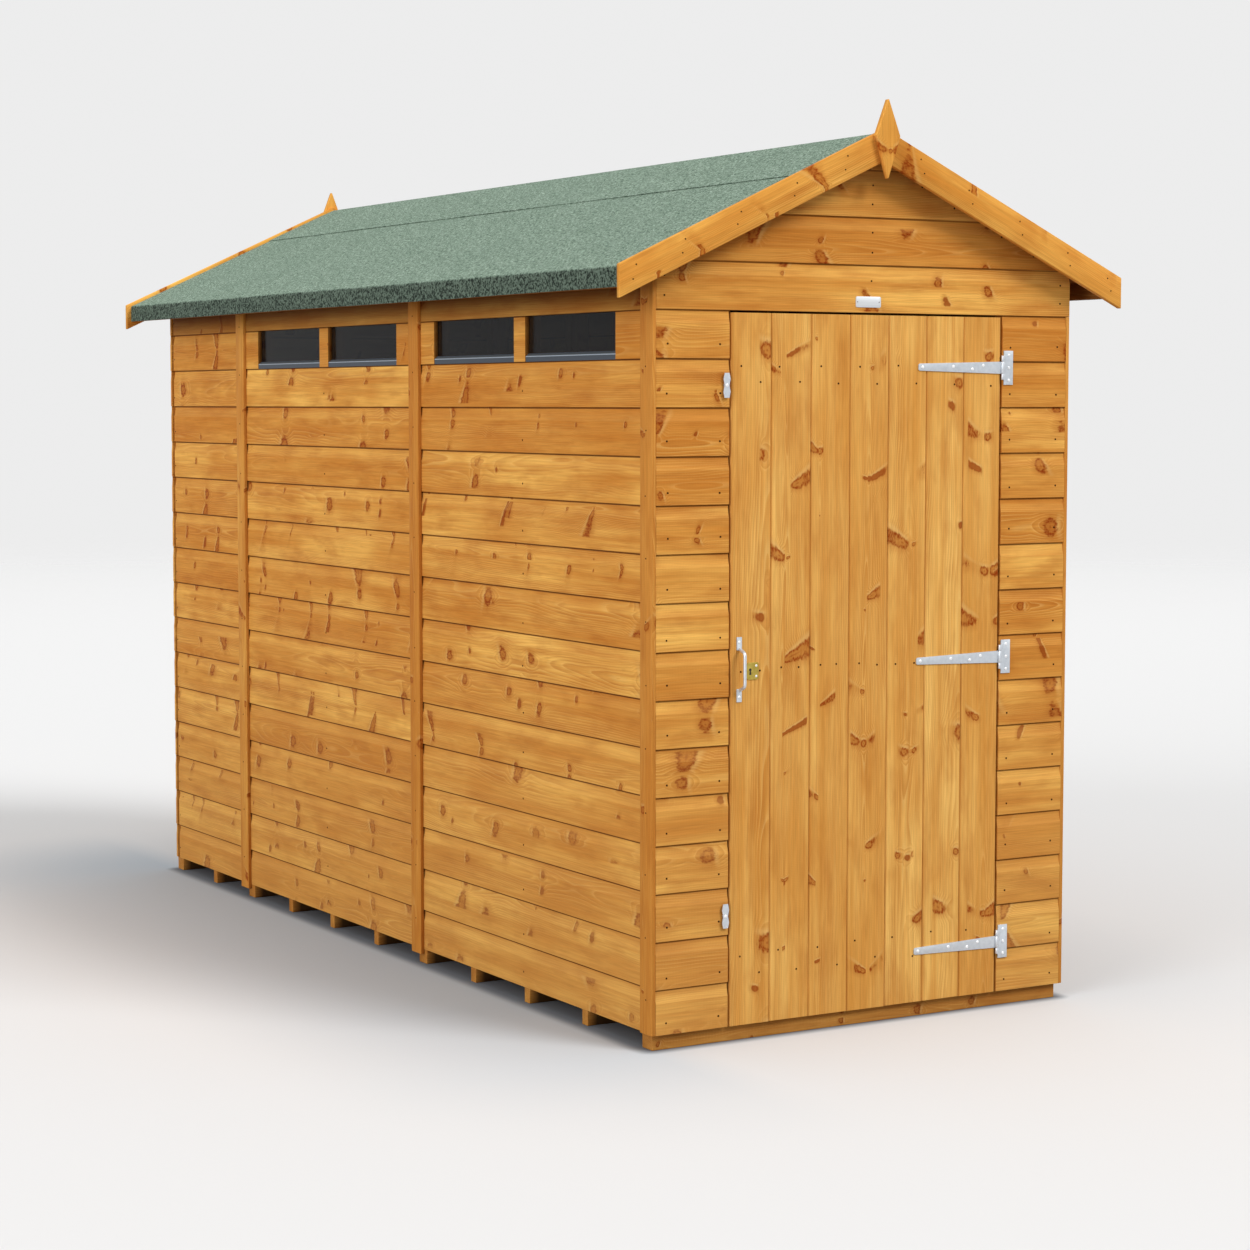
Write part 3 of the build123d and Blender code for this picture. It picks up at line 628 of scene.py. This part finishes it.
# Painted highlight on the strip's sloping top, which faces up.
top_highlight = grey.times(grey.parts(grey.geometry("True Normal"))[2], 0.8, clamp=True)
# Painted highlight along the top edge of the strip's face.
from_edge = grey.minus(grey.parts(grey.spot())[2], sill + STRIP_HEIGHT - 0.0008)
edge_highlight = grey.sum("LESS_THAN", grey.sum("ABSOLUTE", from_edge), 0.0012)
grey.paint(
    srgb(28, 38, 50),
    (uneven_tone, srgb(46, 56, 69)),
    (top_highlight, srgb(92, 98, 102)),
    (edge_highlight, srgb(158, 170, 180)),
)
grey.set({"Roughness": 0.45, "Normal": grey.bump(uneven_tone, 0.2, 0.0005)})
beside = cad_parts["left_boards_beside_windows"].data
points = np.array([vertex.co for vertex in beside.vertices])
blocks = sorted((points[solid][:, 1].min(), points[solid][:, 1].max()) for solid in solids_in(beside))
openings = [(one[1], two[0]) for one, two in zip(blocks, blocks[1:]) if two[0] - one[1] > 0.1]
glass_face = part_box("window_panes")[0].x - 0.0003
strip_face = left_face.x + STRIP_FACE
profile = [
    (strip_face, sill), (strip_face, sill + STRIP_HEIGHT - 0.0015),
    (strip_face + 0.0006, sill + STRIP_HEIGHT), (glass_face - 0.002, sill + STRIP_BACK_HEIGHT),
    (glass_face, sill + STRIP_BACK_HEIGHT), (glass_face, sill),
]


def fill_between(shape, outline, start, end):
    """A solid between two places along the shed, with the same outline of (x, z) points at both."""
    rows = [[shape.verts.new((x, y, z)) for x, z in outline] for y in (start, end)]
    for number in range(len(outline)):
        after = (number + 1) % len(outline)
        shape.faces.new([rows[0][number], rows[0][after], rows[1][after], rows[1][number]])
    for row in rows:
        shape.faces.new(row)


shape = bmesh.new()
for start, end in openings:
    fill_between(shape, profile, start + STRIP_END_GAP, end - STRIP_END_GAP)
new_piece("window_foot_strips", shape, grey, "shed", crease=30)

# Strips. Planed softwood laths nailed over the joints between wall panels and down the front
# corners, where they hide the ends of the boards.
strip_wood = softwood("strip_wood", srgb(232, 173, 85), srgb(192, 120, 46), srgb(140, 54, 6), knot_share=0.4)
strips = ["left_cover_strips", "right_cover_strips", "front_corner_strips"]
dress_timber(strips, strip_wood, UP, REAR, arris=0.0014)

# Roof frame. Sawn purlins under the roof boards, and a batten under each eave, darker than the
# frames: painted shade, as they lie in the shade under the roof.
# Painted shade: this wood is darker to stand for the shade under the roof, on purlins, battens and roof
# boards.
roof_wood_shaded = softwood(
    "roof_wood_shaded", srgb(164, 108, 52), srgb(128, 80, 34), srgb(84, 38, 12), knot_share=0.5, sawn=0.3
)
dress_timber(["purlins", "eave_battens"], roof_wood_shaded, REAR, UP)

# Roof boards. Thin tongued boards laid from gable to gable, with V joints that show from inside
# and under the overhang.
ROOF_BOARD = 0.098
ROOF_BOARD_GAP = 0.0005
ROOF_BOARD_CHAMFER = 0.0015
ridge_height = roof_low.z - roof_low.x * math.tan(slope)
roof_length = roof_high.y - roof_low.y
slope_length = -roof_low.x / math.cos(slope)
roof_thickness = (roof_high.z - ridge_height) * math.cos(slope)
board_count = round(slope_length / ROOF_BOARD)
roof_pitch = slope_length / board_count
roof_section = eased(roof_pitch - ROOF_BOARD_GAP, roof_thickness, ROOF_BOARD_CHAMFER)
for side, node in ((-1, "left_roof_boards"), (1, "right_roof_boards")):
    down = Vector((side * math.cos(slope), 0, -math.sin(slope)))
    outward = Vector((side * math.sin(slope), 0, math.cos(slope)))
    boards = Boards()
    for number in range(board_count):
        corner = Vector((0, roof_low.y, ridge_height)) + down * (roof_pitch * number)
        boards.add(roof_section, corner, REAR, down, outward, roof_length, bays=1)
    ridge_cut = (Vector((0, 0, 0)), Vector((-side, 0, 0)))
    eave_cut = (Vector((-side * roof_low.x, 0, 0)), Vector((side, 0, 0)))
    boards.piece(node + "_laid", roof_wood_shaded, "roof_boards", "shed", [node], [ridge_cut, eave_cut])

# Roofing felt. Green mineral felt, one sheet to a slope, folded down over the eave batten, darker
# on the fold's sideways faces, and nailed there. A third sheet caps the ridge and laps over both.
FELT_THICKNESS = 0.0025
FELT_START = 0.05
FELT_STATIONS = 90
FELT_TRIM = 0.003
FOLD_ROUND = 0.007
CAP_THICKNESS = 0.0014
CAP_LIFT = FELT_THICKNESS + 0.001
CAP_REACH = 0.256
felt = Finish("mineral_felt")
spot = felt.spot()
grit = felt.ramp(felt.noise(spot, 170, roughness=0.7), 0.42, 0.58)
flecks = felt.noise(spot, 110, detail=3.0, roughness=0.8)
light_flecks = felt.times(felt.ramp(flecks, 0.55, 0.66), 0.6)
dark_flecks = felt.times(felt.ramp(flecks, 0.45, 0.34), 0.55)
patches = felt.times(felt.ramp(felt.noise(spot, 5, detail=3.0), 0.3, 0.7), 0.2)
# Darker low on the fold, where the felt faces sideways.
uneven_tone = felt.ramp(felt.parts(felt.geometry("Normal"))[2], 0.8, 0.25, 0.0, 0.9)
fold_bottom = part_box("left_felt")[0].z
low_down = felt.sum("LESS_THAN", felt.parts(spot)[2], fold_bottom + 0.06)
felt.paint(
    srgb(80, 101, 85),
    (grit, srgb(150, 171, 153)),
    (light_flecks, srgb(190, 204, 190)),
    (dark_flecks, srgb(64, 80, 68)),
    (patches, srgb(98, 120, 104)),
    (felt.times(uneven_tone, low_down), felt.tint(grit, srgb(10, 16, 12), srgb(98, 114, 100))),
)
felt.set({
    "Roughness": 0.92,
    "Specular IOR Level": 0.2,
    "Normal": felt.bump(grit, 0.7, 0.0014),
})


def ripple(along, across, waves):
    """A slow unevenness between 0 and 1 over a sheet, from a few waves of chance length."""
    total = sum(math.sin(along * first + across * second + start) for first, second, start in waves)
    return 0.5 + 0.5 * total / len(waves)


def felt_sheet(name, upper, lower, swell, nodes=()):
    """A sheet of felt laid over a path of (x, z) points, outside upper and inside lower, along the roof."""
    waves = [(dice.uniform(1.5, 9), dice.uniform(-9, 9), dice.uniform(0, 6.28)) for _ in range(4)]
    edge_waves = [(dice.uniform(2, 14), 0, dice.uniform(0, 6.28)) for _ in range(5)]
    last = len(upper) - 1
    shape = bmesh.new()
    rows = []
    for station in range(FELT_STATIONS + 1):
        y = roof_low.y + roof_length * station / FELT_STATIONS
        row = []
        travelled = 0
        for number, (outer, inner) in enumerate(zip(upper, lower)):
            before = upper[number - 1] if number else upper[1]
            travelled += math.dist(outer, before) if number else 0
            push = ripple(y, travelled, waves) * swell
            away = Vector((outer[0] - inner[0], 0, outer[1] - inner[1])).normalized() * push
            trim = (ripple(y, 0, edge_waves) - 0.5) * FELT_TRIM if number in (0, last) else 0
            back = Vector((outer[0] - before[0], 0, outer[1] - before[1])).normalized() * trim
            row.append([shape.verts.new(Vector((x, y, z)) + away + back) for x, z in (outer, inner)])
        rows.append(row)
    for near, far in zip(rows, rows[1:]):
        for one, two, three, four in zip(near, far, far[1:], near[1:]):
            shape.faces.new([one[0], two[0], three[0], four[0]])
            shape.faces.new([one[1], two[1], three[1], four[1]])
        for end in (0, last):
            shape.faces.new([near[end][0], near[end][1], far[end][1], far[end][0]])
    for row in (rows[0], rows[-1]):
        for one, two in zip(row, row[1:]):
            shape.faces.new([one[0], two[0], two[1], one[1]])
    new_piece(name, shape, felt, "shed", nodes, crease=40)


def slope_point(side, down, lift):
    """A point above the roof boards' top, so far down one slope from the ridge, as (x, z)."""
    top = ridge_height + roof_thickness / math.cos(slope)
    x = down * math.cos(slope) + lift * math.sin(slope)
    z = top - down * math.sin(slope) + lift * math.cos(slope)
    return side * x, z


eave_x = -roof_low.x
for side, node in ((-1, "left_felt"), (1, "right_felt")):
    upper, lower = [], []
    for step in range(14):
        down = FELT_START + (slope_length - FOLD_ROUND - FELT_START) * step / 13
        upper.append(slope_point(side, down, FELT_THICKNESS))
        lower.append(slope_point(side, down, 0.0001))
    outer = FOLD_ROUND + FELT_THICKNESS
    turn_x, turn_z = eave_x - FOLD_ROUND, upper[-1][1] - outer * math.cos(slope)
    for step in range(1, 6):
        angle = (math.pi / 2 - slope) * (1 - step / 5)
        for path, radius in ((upper, outer), (lower, FOLD_ROUND)):
            path.append((side * (turn_x + radius * math.cos(angle)), turn_z + radius * math.sin(angle)))
    for step in range(1, 4):
        height = turn_z + (fold_bottom - turn_z) * step / 3
        upper.append((side * (eave_x + FELT_THICKNESS), height))
        lower.append((side * eave_x, height))
    felt_sheet(node + "_sheet", upper, lower, 0.0009, [node])
crown = slope_point(1, 0, CAP_LIFT)[1]
upper, lower = [(0, crown + CAP_THICKNESS * 0.9)], [(0, crown - 0.0005)]
for step in range(1, 7):
    down = CAP_REACH * step / 6
    for path, lift in ((upper, CAP_LIFT + CAP_THICKNESS), (lower, CAP_LIFT)):
        path.insert(0, slope_point(-1, down, lift))
        path.append(slope_point(1, down, lift))
felt_sheet("ridge_felt", upper, lower, 0.0006)

# Bargeboards and finials. Planed softwood boards nailed over the roof's ends, mitred under a
# kite-shaped finial at each gable.
BARGE_ARRIS = 0.0016
barge_wood = softwood(
    "bargeboard_wood", srgb(244, 188, 92), srgb(204, 128, 46), srgb(142, 54, 6), knot_share=0.9
)
dress_timber(["front_bargeboards", "rear_bargeboards"], barge_wood, down_the_slope, REAR, BARGE_ARRIS)
dress_timber(["finials"], barge_wood, UP, REAR, BARGE_ARRIS)

# Door boards. Seven planed boards side by side with V joints, held together by the ledges and
# braces that are nailed across their backs.
DOOR_BOARDS = 7
DOOR_BOARD_GAP = 0.0007
DOOR_CHAMFER = 0.003
door_wood = softwood("door_wood", srgb(248, 199, 112), srgb(206, 138, 58), srgb(142, 50, 4), knot_share=0.56)
door_low, door_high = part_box("door_boards")
door_pitch = (door_high.x - door_low.x) / DOOR_BOARDS
door_section = eased(door_pitch - DOOR_BOARD_GAP, door_high.y - door_low.y - 0.0003, DOOR_CHAMFER)
door = Boards()
for number in range(DOOR_BOARDS):
    short = dice.uniform(0, 0.0015)
    left = door_low.x + door_pitch * number + DOOR_BOARD_GAP / 2
    corner = Vector((left, door_low.y, door_low.z + short))
    door.add(door_section, corner, UP, RIGHT, REAR, door_high.z - door_low.z - short, bays=6, waver=0.00015)
door.piece("door_boards_laid", door_wood, "door_boards", "door", ["door_boards"])
braces_low, braces_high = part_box("door_braces")
up_the_brace = Vector((braces_low.x - braces_high.x, 0, (braces_high.z - braces_low.z) / 2)).normalized()
dress_timber(["door_ledges"], frame_wood, RIGHT, REAR)
dress_timber(["door_braces"], frame_wood, up_the_brace, REAR)

# Nails. Round wire nails driven flush through the boards and strips into the frames. Their dark
# brown is partly the dip on them and partly painted shade of the nail holes.
NAIL_SIDES = 8
NAIL_STRAY = 0.002
nail_steel = Finish("nail_steel")
rust = nail_steel.noise(nail_steel.spot(), 300)
# Dark brown: the dip on the nails, and painted shade of their holes.
nail_steel.paint(srgb(40, 20, 6), (rust, srgb(74, 40, 12)))
nail_steel.set({"Roughness": 0.8, "Specular IOR Level": 0.05})


def nail_heads(name, places, outward, body, radius=0.0025):
    """Flat round nail heads at these places on a face."""
    shape = bmesh.new()
    side = outward.cross(UP).normalized()
    other = outward.cross(side)
    for place in places:
        place = place + side * dice.uniform(-NAIL_STRAY, NAIL_STRAY)
        place = place + other * dice.uniform(-NAIL_STRAY, NAIL_STRAY)
        middle = shape.verts.new(place + outward * 0.0006)
        rim, foot = [], []
        for number in range(NAIL_SIDES):
            angle = math.tau * number / NAIL_SIDES
            reach = (side * math.cos(angle) + other * math.sin(angle)) * radius
            rim.append(shape.verts.new(place + reach + outward * 0.0004))
            foot.append(shape.verts.new(place + reach - outward * 0.0006))
        for number in range(NAIL_SIDES):
            after = (number + 1) % NAIL_SIDES
            shape.faces.new([middle, rim[number], rim[after]])
            shape.faces.new([rim[number], foot[number], foot[after], rim[after]])
    new_piece(name, shape, nail_steel, body)


door_nails = []
for low, high in [(0.159, 0.208), (0.886, 0.886), (1.562, 1.604)]:
    for number in range(DOOR_BOARDS):
        for share, height in ((0.22, high), (0.72, low)):
            x = door_low.x + door_pitch * (number + share + dice.uniform(-0.04, 0.04))
            door_nails.append(Vector((x, door_low.y, height + dice.uniform(-0.005, 0.005))))
nail_heads("door_nails", door_nails, -REAR, "door")


def course_nails(face, along, columns, low, high):
    """A nail in each course of boards at each column, just above the course's lower edge."""
    places = []
    number = 0
    while board_joint(number) < high:
        height = board_joint(number) + dice.uniform(0.028, 0.04)
        if low < height < high:
            places += [face + along * column + UP * height for column in columns]
        number += 1
    return places


NAILS_TOP = 1.8
REAR_COLUMN = 1.49
half_width = -left_face.x
panel_ends = [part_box("left_studs")[0].y, *panel_joints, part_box("left_studs")[1].y]
columns = [(low + high) / 2 for low, high in zip(panel_ends, panel_ends[1:])][:2]
window_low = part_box("left_boards_beside_windows")[0].z
below_windows = course_nails(left_face, REAR, columns, boards_bottom, window_low)
at_corner = course_nails(left_face, REAR, [REAR_COLUMN], boards_bottom, NAILS_TOP)
nail_heads("left_wall_nails", below_windows + at_corner, -RIGHT, "shed")
right_nails = course_nails(right_face, REAR, columns + [REAR_COLUMN], boards_bottom, NAILS_TOP)
nail_heads("right_wall_nails", right_nails, RIGHT, "shed")
rear_nails = course_nails(rear_face, RIGHT, [-0.55, 0.0, 0.55], boards_bottom, NAILS_TOP)
nail_heads("rear_wall_nails", rear_nails, REAR, "shed")
front_columns = [-half_width + 0.03, -0.425, 0.425, half_width - 0.03]
front_nails = course_nails(front_face, RIGHT, front_columns, boards_bottom, head_height)
for number in range(JOINTS_BELOW_HEAD, JOINTS_BELOW_HEAD + 4):
    for share in (0.032, 0.078):
        height = board_joint(number) + share
        rail = min((ridge_height - height) / math.tan(slope) - 0.075, half_width - 0.02)
        if rail > 0.05:
            front_nails += [front_face + RIGHT * x + UP * height for x in (-rail, 0.004, rail)]
nail_heads("front_wall_nails", front_nails, -REAR, "shed")
strip_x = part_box("left_cover_strips")[0].x
strip_rows = (*panel_joints, front_face.y + 0.03)
strip_nails = [Vector((strip_x, y, 0.12 + 0.148 * number)) for y in strip_rows for number in range(12)]
nail_heads("left_strip_nails", strip_nails, -RIGHT, "shed", radius=0.002)
barge_low, barge_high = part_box("front_bargeboards")
barge_depth = barge_high.z - barge_high.x * math.tan(slope) - barge_low.z
barge_nails = []
for side in (-1, 1):
    for x in (0.1, 0.245, 0.4, 0.55, 0.68):
        for share in (0.3, 0.72):
            z = barge_high.z - x * math.tan(slope) - barge_depth * share
            barge_nails.append(Vector((side * (x + 0.02 * share), barge_low.y, z)))
nail_heads("bargeboard_nails", barge_nails, -REAR, "shed", radius=0.002)

# T hinges. Pressed steel, bright galvanised: a tapered strap on the door turns on a pin held by
# the cross plate on the wall. Round-headed screws hold both.
HINGE_HEIGHTS = (0.166, 0.886, 1.604)
SHEET_THICKNESS = 0.0025
SCREW_SIDES = 16
SCREW_RINGS = ((1.0, 0.0), (0.94, 0.55), (0.78, 0.85), (0.58, 1.0), (0.0, 1.0), (0.0, 0.35))


def plated(name, metallic, spangles, detail, dark, light):
    """Zinc-plated steel, with so many spangles to a metre between a dark and a light grey."""
    finish = Finish(name)
    spot = finish.spot()
    finish.paint(dark, (finish.noise(spot, spangles, detail=detail), light))
    finish.set({
        "Metallic": metallic,
        "Roughness": finish.ramp(finish.noise(spot, 60), 0.0, 1.0, 0.28, 0.48),
        "Normal": finish.bump(finish.noise(spot, 120, detail=3.0), 0.15, 0.0004),
    })
    return finish


zinc = plated("galvanised_steel", 0.6, 120, 3.0, srgb(188, 195, 203), srgb(218, 223, 228))
bright_zinc = plated("bright_screws", 0.35, 400, 2.0, srgb(240, 243, 246), srgb(254, 254, 254))


def screw_heads(name, places, body, finish=bright_zinc, radius=0.004, rise=0.0017):
    """Round screw heads towards the front, each with a cross recess."""
    shape = bmesh.new()
    side = (-REAR).cross(UP)
    for place in places:
        twist = dice.uniform(0, math.tau)
        rings = []
        for share, height in SCREW_RINGS:
            ring = []
            for number in range(SCREW_SIDES):
                angle = math.tau * number / SCREW_SIDES + twist
                recess = 0.5 if number % 4 == 0 else 0.17
                reach = radius * (share or recess)
                across = side * math.cos(angle) + UP * math.sin(angle)
                ring.append(shape.verts.new(place + across * reach - REAR * (rise * height)))
            rings.append(ring)
        for low, high in zip(rings, rings[1:]):
            for number in range(SCREW_SIDES):
                after = (number + 1) % SCREW_SIDES
                shape.faces.new([low[number], low[after], high[after], high[number]])
        shape.faces.new(rings[-1])
    new_piece(name, shape, finish, body, crease=40)


dress("hinge_plates", zinc, arris=0.0005)
dress("hinge_straps", zinc, arris=0.0005)
plate_screw_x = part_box("hinge_plates")[1].x - 0.013
strap_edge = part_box("hinge_straps")[0].x
sheet_face = front_face.y - SHEET_THICKNESS
plate_screws, strap_screws = [], []
for height in HINGE_HEIGHTS:
    for offset in (-0.031, 0.0, 0.031):
        plate_screws.append(Vector((plate_screw_x, sheet_face, height + offset)))
    for x, offset in ((0.012, 0.0), (0.105, 0.002), (0.163, -0.004), (0.196, 0.005)):
        strap_screws.append(Vector((strap_edge + x, sheet_face, height + offset)))
screw_heads("hinge_plate_screws", plate_screws, "shed")
screw_heads("hinge_strap_screws", strap_screws, "door")

# Handle. A bow handle of bright plated steel, screwed through its two flat feet to the door's
# first board, on the lock side.
dress("door_handle", zinc, arris=0.0006)
handle_low, handle_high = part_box("door_handle")
handle_x = (handle_low.x + handle_high.x) / 2
handle_screws = [Vector((handle_x, sheet_face, z)) for z in (handle_low.z + 0.012, handle_high.z - 0.012)]
screw_heads("door_handle_screws", handle_screws, "door", radius=0.0036)

# Lock plate. A small plate of tarnished brass with a keyhole in it, drawn as a dark sheet of painted
# shade, held flat on the door by two bright screws.
KEYHOLE_RADIUS = 0.0036
brass = Finish("brass")
tarnish = brass.noise(brass.spot(), 90, detail=3.0)
brass.paint(srgb(146, 122, 44), (tarnish, srgb(216, 192, 100)))
brass.set({"Metallic": 1.0, "Roughness": brass.ramp(tarnish, 0.0, 1.0, 0.22, 0.42)})
dress("lock_plate", brass, arris=0.0006)
lock_low, lock_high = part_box("lock_plate")
lock_middle = (lock_low + lock_high) / 2
lock_heights = (lock_low.z + 0.008, lock_high.z - 0.008)
lock_screws = [Vector((lock_high.x - 0.007, lock_low.y, z)) for z in lock_heights]
screw_heads("lock_plate_screws", lock_screws, "door", radius=0.003)
# Painted shade: a dark sheet on the plate where the keyhole is.
keyhole_shade = Finish("keyhole_shade")
keyhole_shade.set({"Base Color": srgb(26, 20, 14), "Roughness": 0.8})
outline = []
for number in range(17):
    angle = math.radians(-60 + 300 * number / 16)
    outline.append((KEYHOLE_RADIUS * math.cos(angle), 0.003 + KEYHOLE_RADIUS * math.sin(angle)))
outline += [(-0.0026, -0.009), (0.0026, -0.009)]
outline = [(lock_middle.x - 0.007 + x, lock_middle.z + z) for x, z in outline]
keyhole = bmesh.new()
fill_between(keyhole, outline, lock_low.y - 0.0002, lock_low.y + 0.0004)
new_piece("lock_keyhole_shade", keyhole, keyhole_shade, "door")

# Turn buttons. Waisted bars of galvanised steel. Each turns on one screw and holds the door shut
# when it stands across the door's edge.
for node in ("lower_turn_button", "upper_turn_button"):
    dress(node, zinc, arris=0.0006)
    low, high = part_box(node)
    middle = Vector(((low.x + high.x) / 2, low.y, (low.z + high.z) / 2))
    screw_heads(node + "_screw", [middle], node, radius=0.0042)

# Plate over the door. A small bare plate of pale sheet metal, held flat on the boards by a pin at
# each end.
plate = Finish("plate_metal")
grained = plate.noise(plate.spot(), (20, 700, 700))
plate.paint(srgb(208, 212, 216), (grained, srgb(228, 231, 234)))
plate.set({"Roughness": 0.4, "Metallic": 0.3})
dress("head_plate", plate, arris=0.0004)
low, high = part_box("head_plate")
pins = [Vector((x, low.y, (low.z + high.z) / 2)) for x in (low.x + 0.005, high.x - 0.005)]
screw_heads("head_plate_pins", pins, "shed", nail_steel, radius=0.0013, rise=0.0005)

# Studio. A pale floor with painted shadow round and under the shed, which fades into a plain
# pale surround, soft lamps, and the camera where the photographer stood.
FLOOR_REACH = 60.0
FLOOR_DROP = 0.0005
SURROUND = (0.845, 0.845, 0.845, 1.0)


def seen_rays(nodes):
    """One for what the camera sees by itself, in a mirror or through glass, and otherwise nothing."""
    rays = nodes.add("LightPath", {}).outputs
    seen = nodes.larger(rays["Is Camera Ray"], rays["Is Glossy Ray"])
    return nodes.larger(seen, rays["Is Transmission Ray"])


studio = Finish("studio_floor")
studio.tree.nodes.clear()
spot = studio.geometry("Position")
past_walls = studio.vector("SUBTRACT", studio.vector("ABSOLUTE", spot), (0.6, 1.5, 0))
past_walls = studio.vector("MAXIMUM", past_walls, (0, 0, 0))
past_walls = studio.vector("LENGTH", studio.vector("MULTIPLY", past_walls, (1, 1, 0)))
# Painted shadow on the floor round the shed, strongest on its left and away from the front.
shaded = studio.ramp(studio.parts(spot)[0], -0.62, -0.5, 1.0, 0.35)
open_front = studio.ramp(studio.parts(spot)[1], -2.0, -0.9, 0.25, 1.0)
near = studio.times(studio.fade(past_walls, 0.95), studio.times(shaded, open_front))
# Painted shadow under the shed.
shadow_beneath = studio.times(studio.fade(past_walls, 0.05), 0.85)
paint = studio.tint(near, (0.735, 0.735, 0.735, 1.0), (0.48, 0.535, 0.585, 1.0))
paint = studio.tint(shadow_beneath, paint, (0.12, 0.125, 0.14, 1.0))
paint = studio.tint(seen_rays(studio), (0.3, 0.3, 0.3, 1.0), paint)
matt = studio.add("BsdfDiffuse", {"Color": paint}).outputs[0]
clear = studio.add("BsdfTransparent", {}).outputs[0]
away = studio.vector("LENGTH", studio.vector("MULTIPLY", spot, (1, 1, 0)))
fading = studio.ramp(away, 9.0, 26.0, smooth="SMOOTHERSTEP")
blend = studio.add("MixShader", {0: fading, 1: matt, 2: clear}).outputs[0]
studio.add("OutputMaterial", {0: blend})
shape = bmesh.new()
bmesh.ops.create_circle(shape, cap_ends=True, radius=FLOOR_REACH, segments=96)
ground = new_object("studio_floor", shape, studio)
ground.location.z = -FLOOR_DROP

world = bpy.data.worlds.new("studio")
bpy.context.scene.world = world
world.use_nodes = True
sky = Nodes(world.node_tree)
sky.tree.nodes.clear()
upwards = sky.parts(sky.add("TexCoord", {}).outputs["Generated"])[2]
overhead = sky.ramp(upwards, 0.0, 1.0, 0.3, 0.95)
soft_light = sky.add("Background", {"Color": (1.0, 1.0, 1.0, 1.0), "Strength": overhead}).outputs[0]
pale_wall = sky.add("Background", {"Color": SURROUND, "Strength": 1.0}).outputs[0]
chosen = sky.add("MixShader", {0: seen_rays(sky), 1: soft_light, 2: pale_wall}).outputs[0]
sky.add("OutputWorld", {0: chosen})


def sun(name, towards, strength, softness):
    """A lamp like the sun. Its softness is the angle that it fills, in degrees."""
    lamp = bpy.data.lights.new(name, "SUN")
    lamp.energy = strength
    lamp.angle = math.radians(softness)
    holder = bpy.data.objects.new(name, lamp)
    holder.rotation_mode = "QUATERNION"
    holder.rotation_quaternion = Vector(towards).to_track_quat("-Z", "Y")
    bpy.context.scene.collection.objects.link(holder)


sun("key_lamp", (-0.4, 0.75, -0.72), 1.8, 24)
sun("fill_lamp", (0.95, 0.22, -0.28), 1.55, 40)

CAMERA_PLACE = (-3.9396, -7.0936, 1.5163)
CAMERA_TURN = 30.32
CAMERA_DIP = 4.506
lens = bpy.data.cameras.new("camera")
lens.lens = 81.03
lens.sensor_width = 36.0
camera = bpy.data.objects.new("camera", lens)
camera.location = CAMERA_PLACE
camera.rotation_euler = (math.radians(90 - CAMERA_DIP), 0, math.radians(-CAMERA_TURN))
bpy.context.scene.collection.objects.link(camera)
bpy.context.scene.camera = camera
bpy.context.scene.view_settings.view_transform = "Standard"

bpy.context.view_layer.update()
